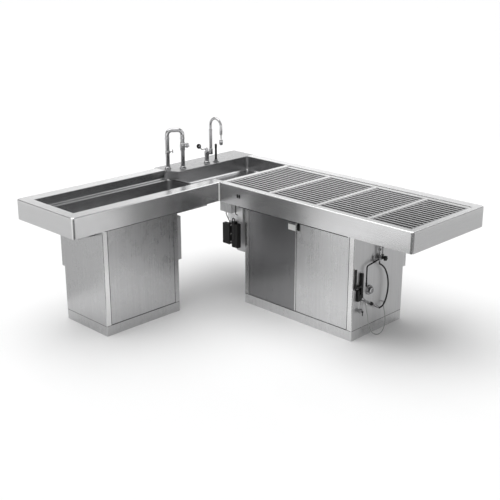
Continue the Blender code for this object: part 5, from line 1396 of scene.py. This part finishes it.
# %% Bent rods
LOOP_X = (-0.400, -0.377)
LOOP_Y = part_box("control_box_2")[0].y + 0.006
LOOP_Z = [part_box("control_box_2")[1].z + rise for rise in (-0.004, 0.026)]
ROD_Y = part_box("junction_box")[0].y + 0.006
BENT_RODS = {
    "box_wire_loop": (((LOOP_X[0], LOOP_Y, LOOP_Z[0]), (LOOP_X[0], LOOP_Y, LOOP_Z[1]),
                       (LOOP_X[1], LOOP_Y, LOOP_Z[1]), (LOOP_X[1], LOOP_Y, LOOP_Z[0])), 0.011, 8, 0.0036),
    "angled_rod": (((-0.350, ROD_Y, FASCIA_Z - 0.001), (-0.350, ROD_Y, 0.690), (-0.330, ROD_Y, 0.686)),
                   0.006, 6, 0.0034),
}
for name, (corners, bend, steps, radius) in BENT_RODS.items():
    bm = bmesh.new()
    add_pipe(bm, rounded_path(corners, bend, steps), radius)
    make_piece(name, bm, RUBBER)
print("bent rods:", len(BENT_RODS))

# %% [markdown]
# ## Strainers
#
# Each drain is closed by a lift-out strainer: a turned plate with a rolled rim and a knob, drilled in
# rings. The holes are small dark discs set into the plate, painted shade for the dark inside of each hole.
# They look right from any side and keep the mesh light.

# %% Strainers
STRAINER_RISE = 0.018
STRAINER_FOOT = 43.5
STRAINER = ((0, 44), (0, 53.5), (1, 54), (2, 53), (2, 47.5), (0.8, 45.5), (0.8, 10), (3, 7.5), (11, 5),
            (13, 6), (16, 7), (17.5, 6), (18, 0))
HOLE_RINGS = ((0.018, 8), (0.028, 12), (0.038, 18))
HOLE_RADIUS = 0.0028
HOLE_DEPTH = 0.0006
HOLE_Z = 0.0007

for node in ("basin_strainer", "sink_strainer"):
    low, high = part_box(node)
    centre = Vector(((low.x + high.x) / 2, (low.y + high.y) / 2, high.z - STRAINER_RISE))
    bm = bmesh.new()
    add_turned(bm, centre, Z, outline(((low.z - centre.z) * 1000, STRAINER_FOOT), *STRAINER), 64)
    make_piece(f"{node}_dressed", bm, CHROME, node)
    bm = bmesh.new()
    for ring, count in HOLE_RINGS:
        for turn in (2 * pi * k / count for k in range(count)):
            place = centre + Vector((cos(turn) * ring, sin(turn) * ring, HOLE_Z))
            add_bar(bm, place, HOLE_RADIUS, HOLE_DEPTH, 14)
    # Painted shade: dark discs for the inside of the holes.
    make_piece(f"{node}_holes", bm, RUBBER, body=body_of_node(node))
print("holes in each strainer:", sum(count for _, count in HOLE_RINGS))

# %% [markdown]
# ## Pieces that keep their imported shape
#
# The hinge rods, the waste pipes and the push buttons need no more shape than they have, so they only
# get their finish.

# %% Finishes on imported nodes
PACKED_FINISHES = {
    "left_hinge_rod": BOLT_STEEL, "right_hinge_rod": BOLT_STEEL, "basin_waste_pipe": WASTE_GREY,
    "sink_waste_pipe": WASTE_GREY, "switch_button_1": BLACK, "switch_button_2": BLACK,
}
for node, finish in PACKED_FINISHES.items():
    for place in frame["nodes"][node].material_slots:
        place.material = finish
print("packed nodes with a new finish:", len(PACKED_FINISHES))

# %% [markdown]
# ## The floor and the cove
#
# The studio is grey overhead, with a white cove near the horizon. The camera and the polished pieces
# see the cove, and the matt surfaces are lit by the grey alone. The floor is a pale matt sheet, so the
# bench keeps its soft shadow.

# %% Floor and cove
FLOOR_SIZE = 120.0
FLOOR_GREY = 0.95
WORLD_GREY = 0.42
COVE_FOOT = 0.13
COVE_TOP = 0.20


def lay_sheet(name, place, size, grey, only_reflected=False):
    """A matt sheet that lies in the studio; it may be seen in reflections alone."""
    bm = bmesh.new()
    stretch = Matrix.Diagonal((*size, 1.0, 1.0))
    bmesh.ops.create_grid(bm, x_segments=1, y_segments=1, size=0.5,
                          matrix=Matrix.Translation(place) @ stretch)
    mesh = bpy.data.meshes.new(name)
    bm.to_mesh(mesh)
    bm.free()
    mesh.materials.append(Finish(name).finish(Base_Color=(grey, grey, grey), Roughness=0.9))
    sheet = bpy.data.objects.new(name, mesh)
    if only_reflected:
        sheet.visible_camera = False
        sheet.visible_diffuse = False
        sheet.visible_shadow = False
    bpy.context.scene.collection.objects.link(sheet)


class Sky(Finish):
    """The world's colour, from the same nodes as a finish."""

    def __init__(self, world):
        world.use_nodes = True
        self.tree = world.node_tree
        self.background = self.tree.nodes["Background"]

    def ray(self, kind):
        return self.node("ShaderNodeLightPath", {}, {}, output=f"Is {kind} Ray")


lay_sheet("studio_floor", (0, 0, 0), (FLOOR_SIZE, FLOOR_SIZE), FLOOR_GREY)
world = bpy.data.worlds.new("pale_studio")
bpy.context.scene.world = world
sky = Sky(world)
seen = sky.node("ShaderNodeMath", {"operation": "MAXIMUM"}, {0: sky.ray("Camera"), 1: sky.ray("Glossy")})
seen = sky.node("ShaderNodeMath", {"operation": "MAXIMUM"}, {0: seen, 1: sky.ray("Transmission")})
direction = sky.node("ShaderNodeTexCoord", {}, {}, output="Generated")
height = sky.node("ShaderNodeSeparateXYZ", {}, {"Vector": direction}, output=2)
cove = sky.node("ShaderNodeMapRange", {}, {"Value": height, "From Min": COVE_FOOT, "From Max": COVE_TOP,
                                           "To Min": 1.0, "To Max": 0.0})
sky.feed(sky.background.inputs["Color"], seen * cove * (1.0 - WORLD_GREY) + WORLD_GREY)
sky.feed(sky.background.inputs["Strength"], 1.0)
print("sky nodes:", len(world.node_tree.nodes))

# %% [markdown]
# ## The lamps and the cards
#
# A wide sun overhead lights the upward faces evenly, and a long softbox behind adds to it. A second
# lamp lights only what is polished. Grey and dark cards lie on the floor round the bench. Only
# reflections see them, and they give the fronts and the taps their darker bands.

# %% Lamps and cards
SUN_STRENGTH = 2.15
SUN_WIDTH = 70.0
SUN_DIRECTION = (0.25, 0.1, -1.0)
SOFT_LAMPS = (
    ("back_softbox", (-4.2, 4.2, 2.0), (0.0, 0.0, 0.9), (7.5, 1.4), 26.0, True),
    ("cove_light", (0.4, 3.4, 3.4), (-0.9, 0.5, 0.8), (3.0, 2.0), 28.0, False),
)
CARD_HEIGHT = 0.003
CARDS = (
    ("front_card", 1.60, -2.05, (3.0, 2.6), 0.02), ("inner_card", -0.125, -1.30, (0.45, 0.50), 0.02),
    ("bay_card", 1.70, -0.26, (1.8, 0.72), 0.05), ("right_card", 2.35, 2.75, (2.9, 3.4), 0.50),
    ("left_card", -2.95, -2.2, (3.3, 2.6), 0.62), ("tap_card", 4.3, -0.1, (2.4, 4.2), 0.02),
)


def hang_lamp(name, kind, power, place, aim):
    """A lamp that looks from its place at a point."""
    data = bpy.data.lights.new(name, kind)
    data.energy = power
    lamp = bpy.data.objects.new(name, data)
    lamp.location = place
    lamp.rotation_euler = (Vector(aim) - Vector(place)).to_track_quat("-Z", "Y").to_euler()
    bpy.context.scene.collection.objects.link(lamp)
    return lamp


overhead = hang_lamp("overhead", "SUN", SUN_STRENGTH, (0, 0, 0), SUN_DIRECTION)
overhead.data.angle = radians(SUN_WIDTH)
for name, place, aim, size, power, matt_too in SOFT_LAMPS:
    lamp = hang_lamp(name, "AREA", power, place, aim)
    lamp.data.shape = "RECTANGLE"
    lamp.data.size, lamp.data.size_y = size
    lamp.visible_camera = False
    lamp.visible_diffuse = matt_too
for name, x, y, size, grey in CARDS:
    lay_sheet(name, (x, y, CARD_HEIGHT), size, grey, only_reflected=True)
bpy.context.scene.view_settings.view_transform = "Standard"
print("lamps:", 1 + len(SOFT_LAMPS), "cards:", len(CARDS))
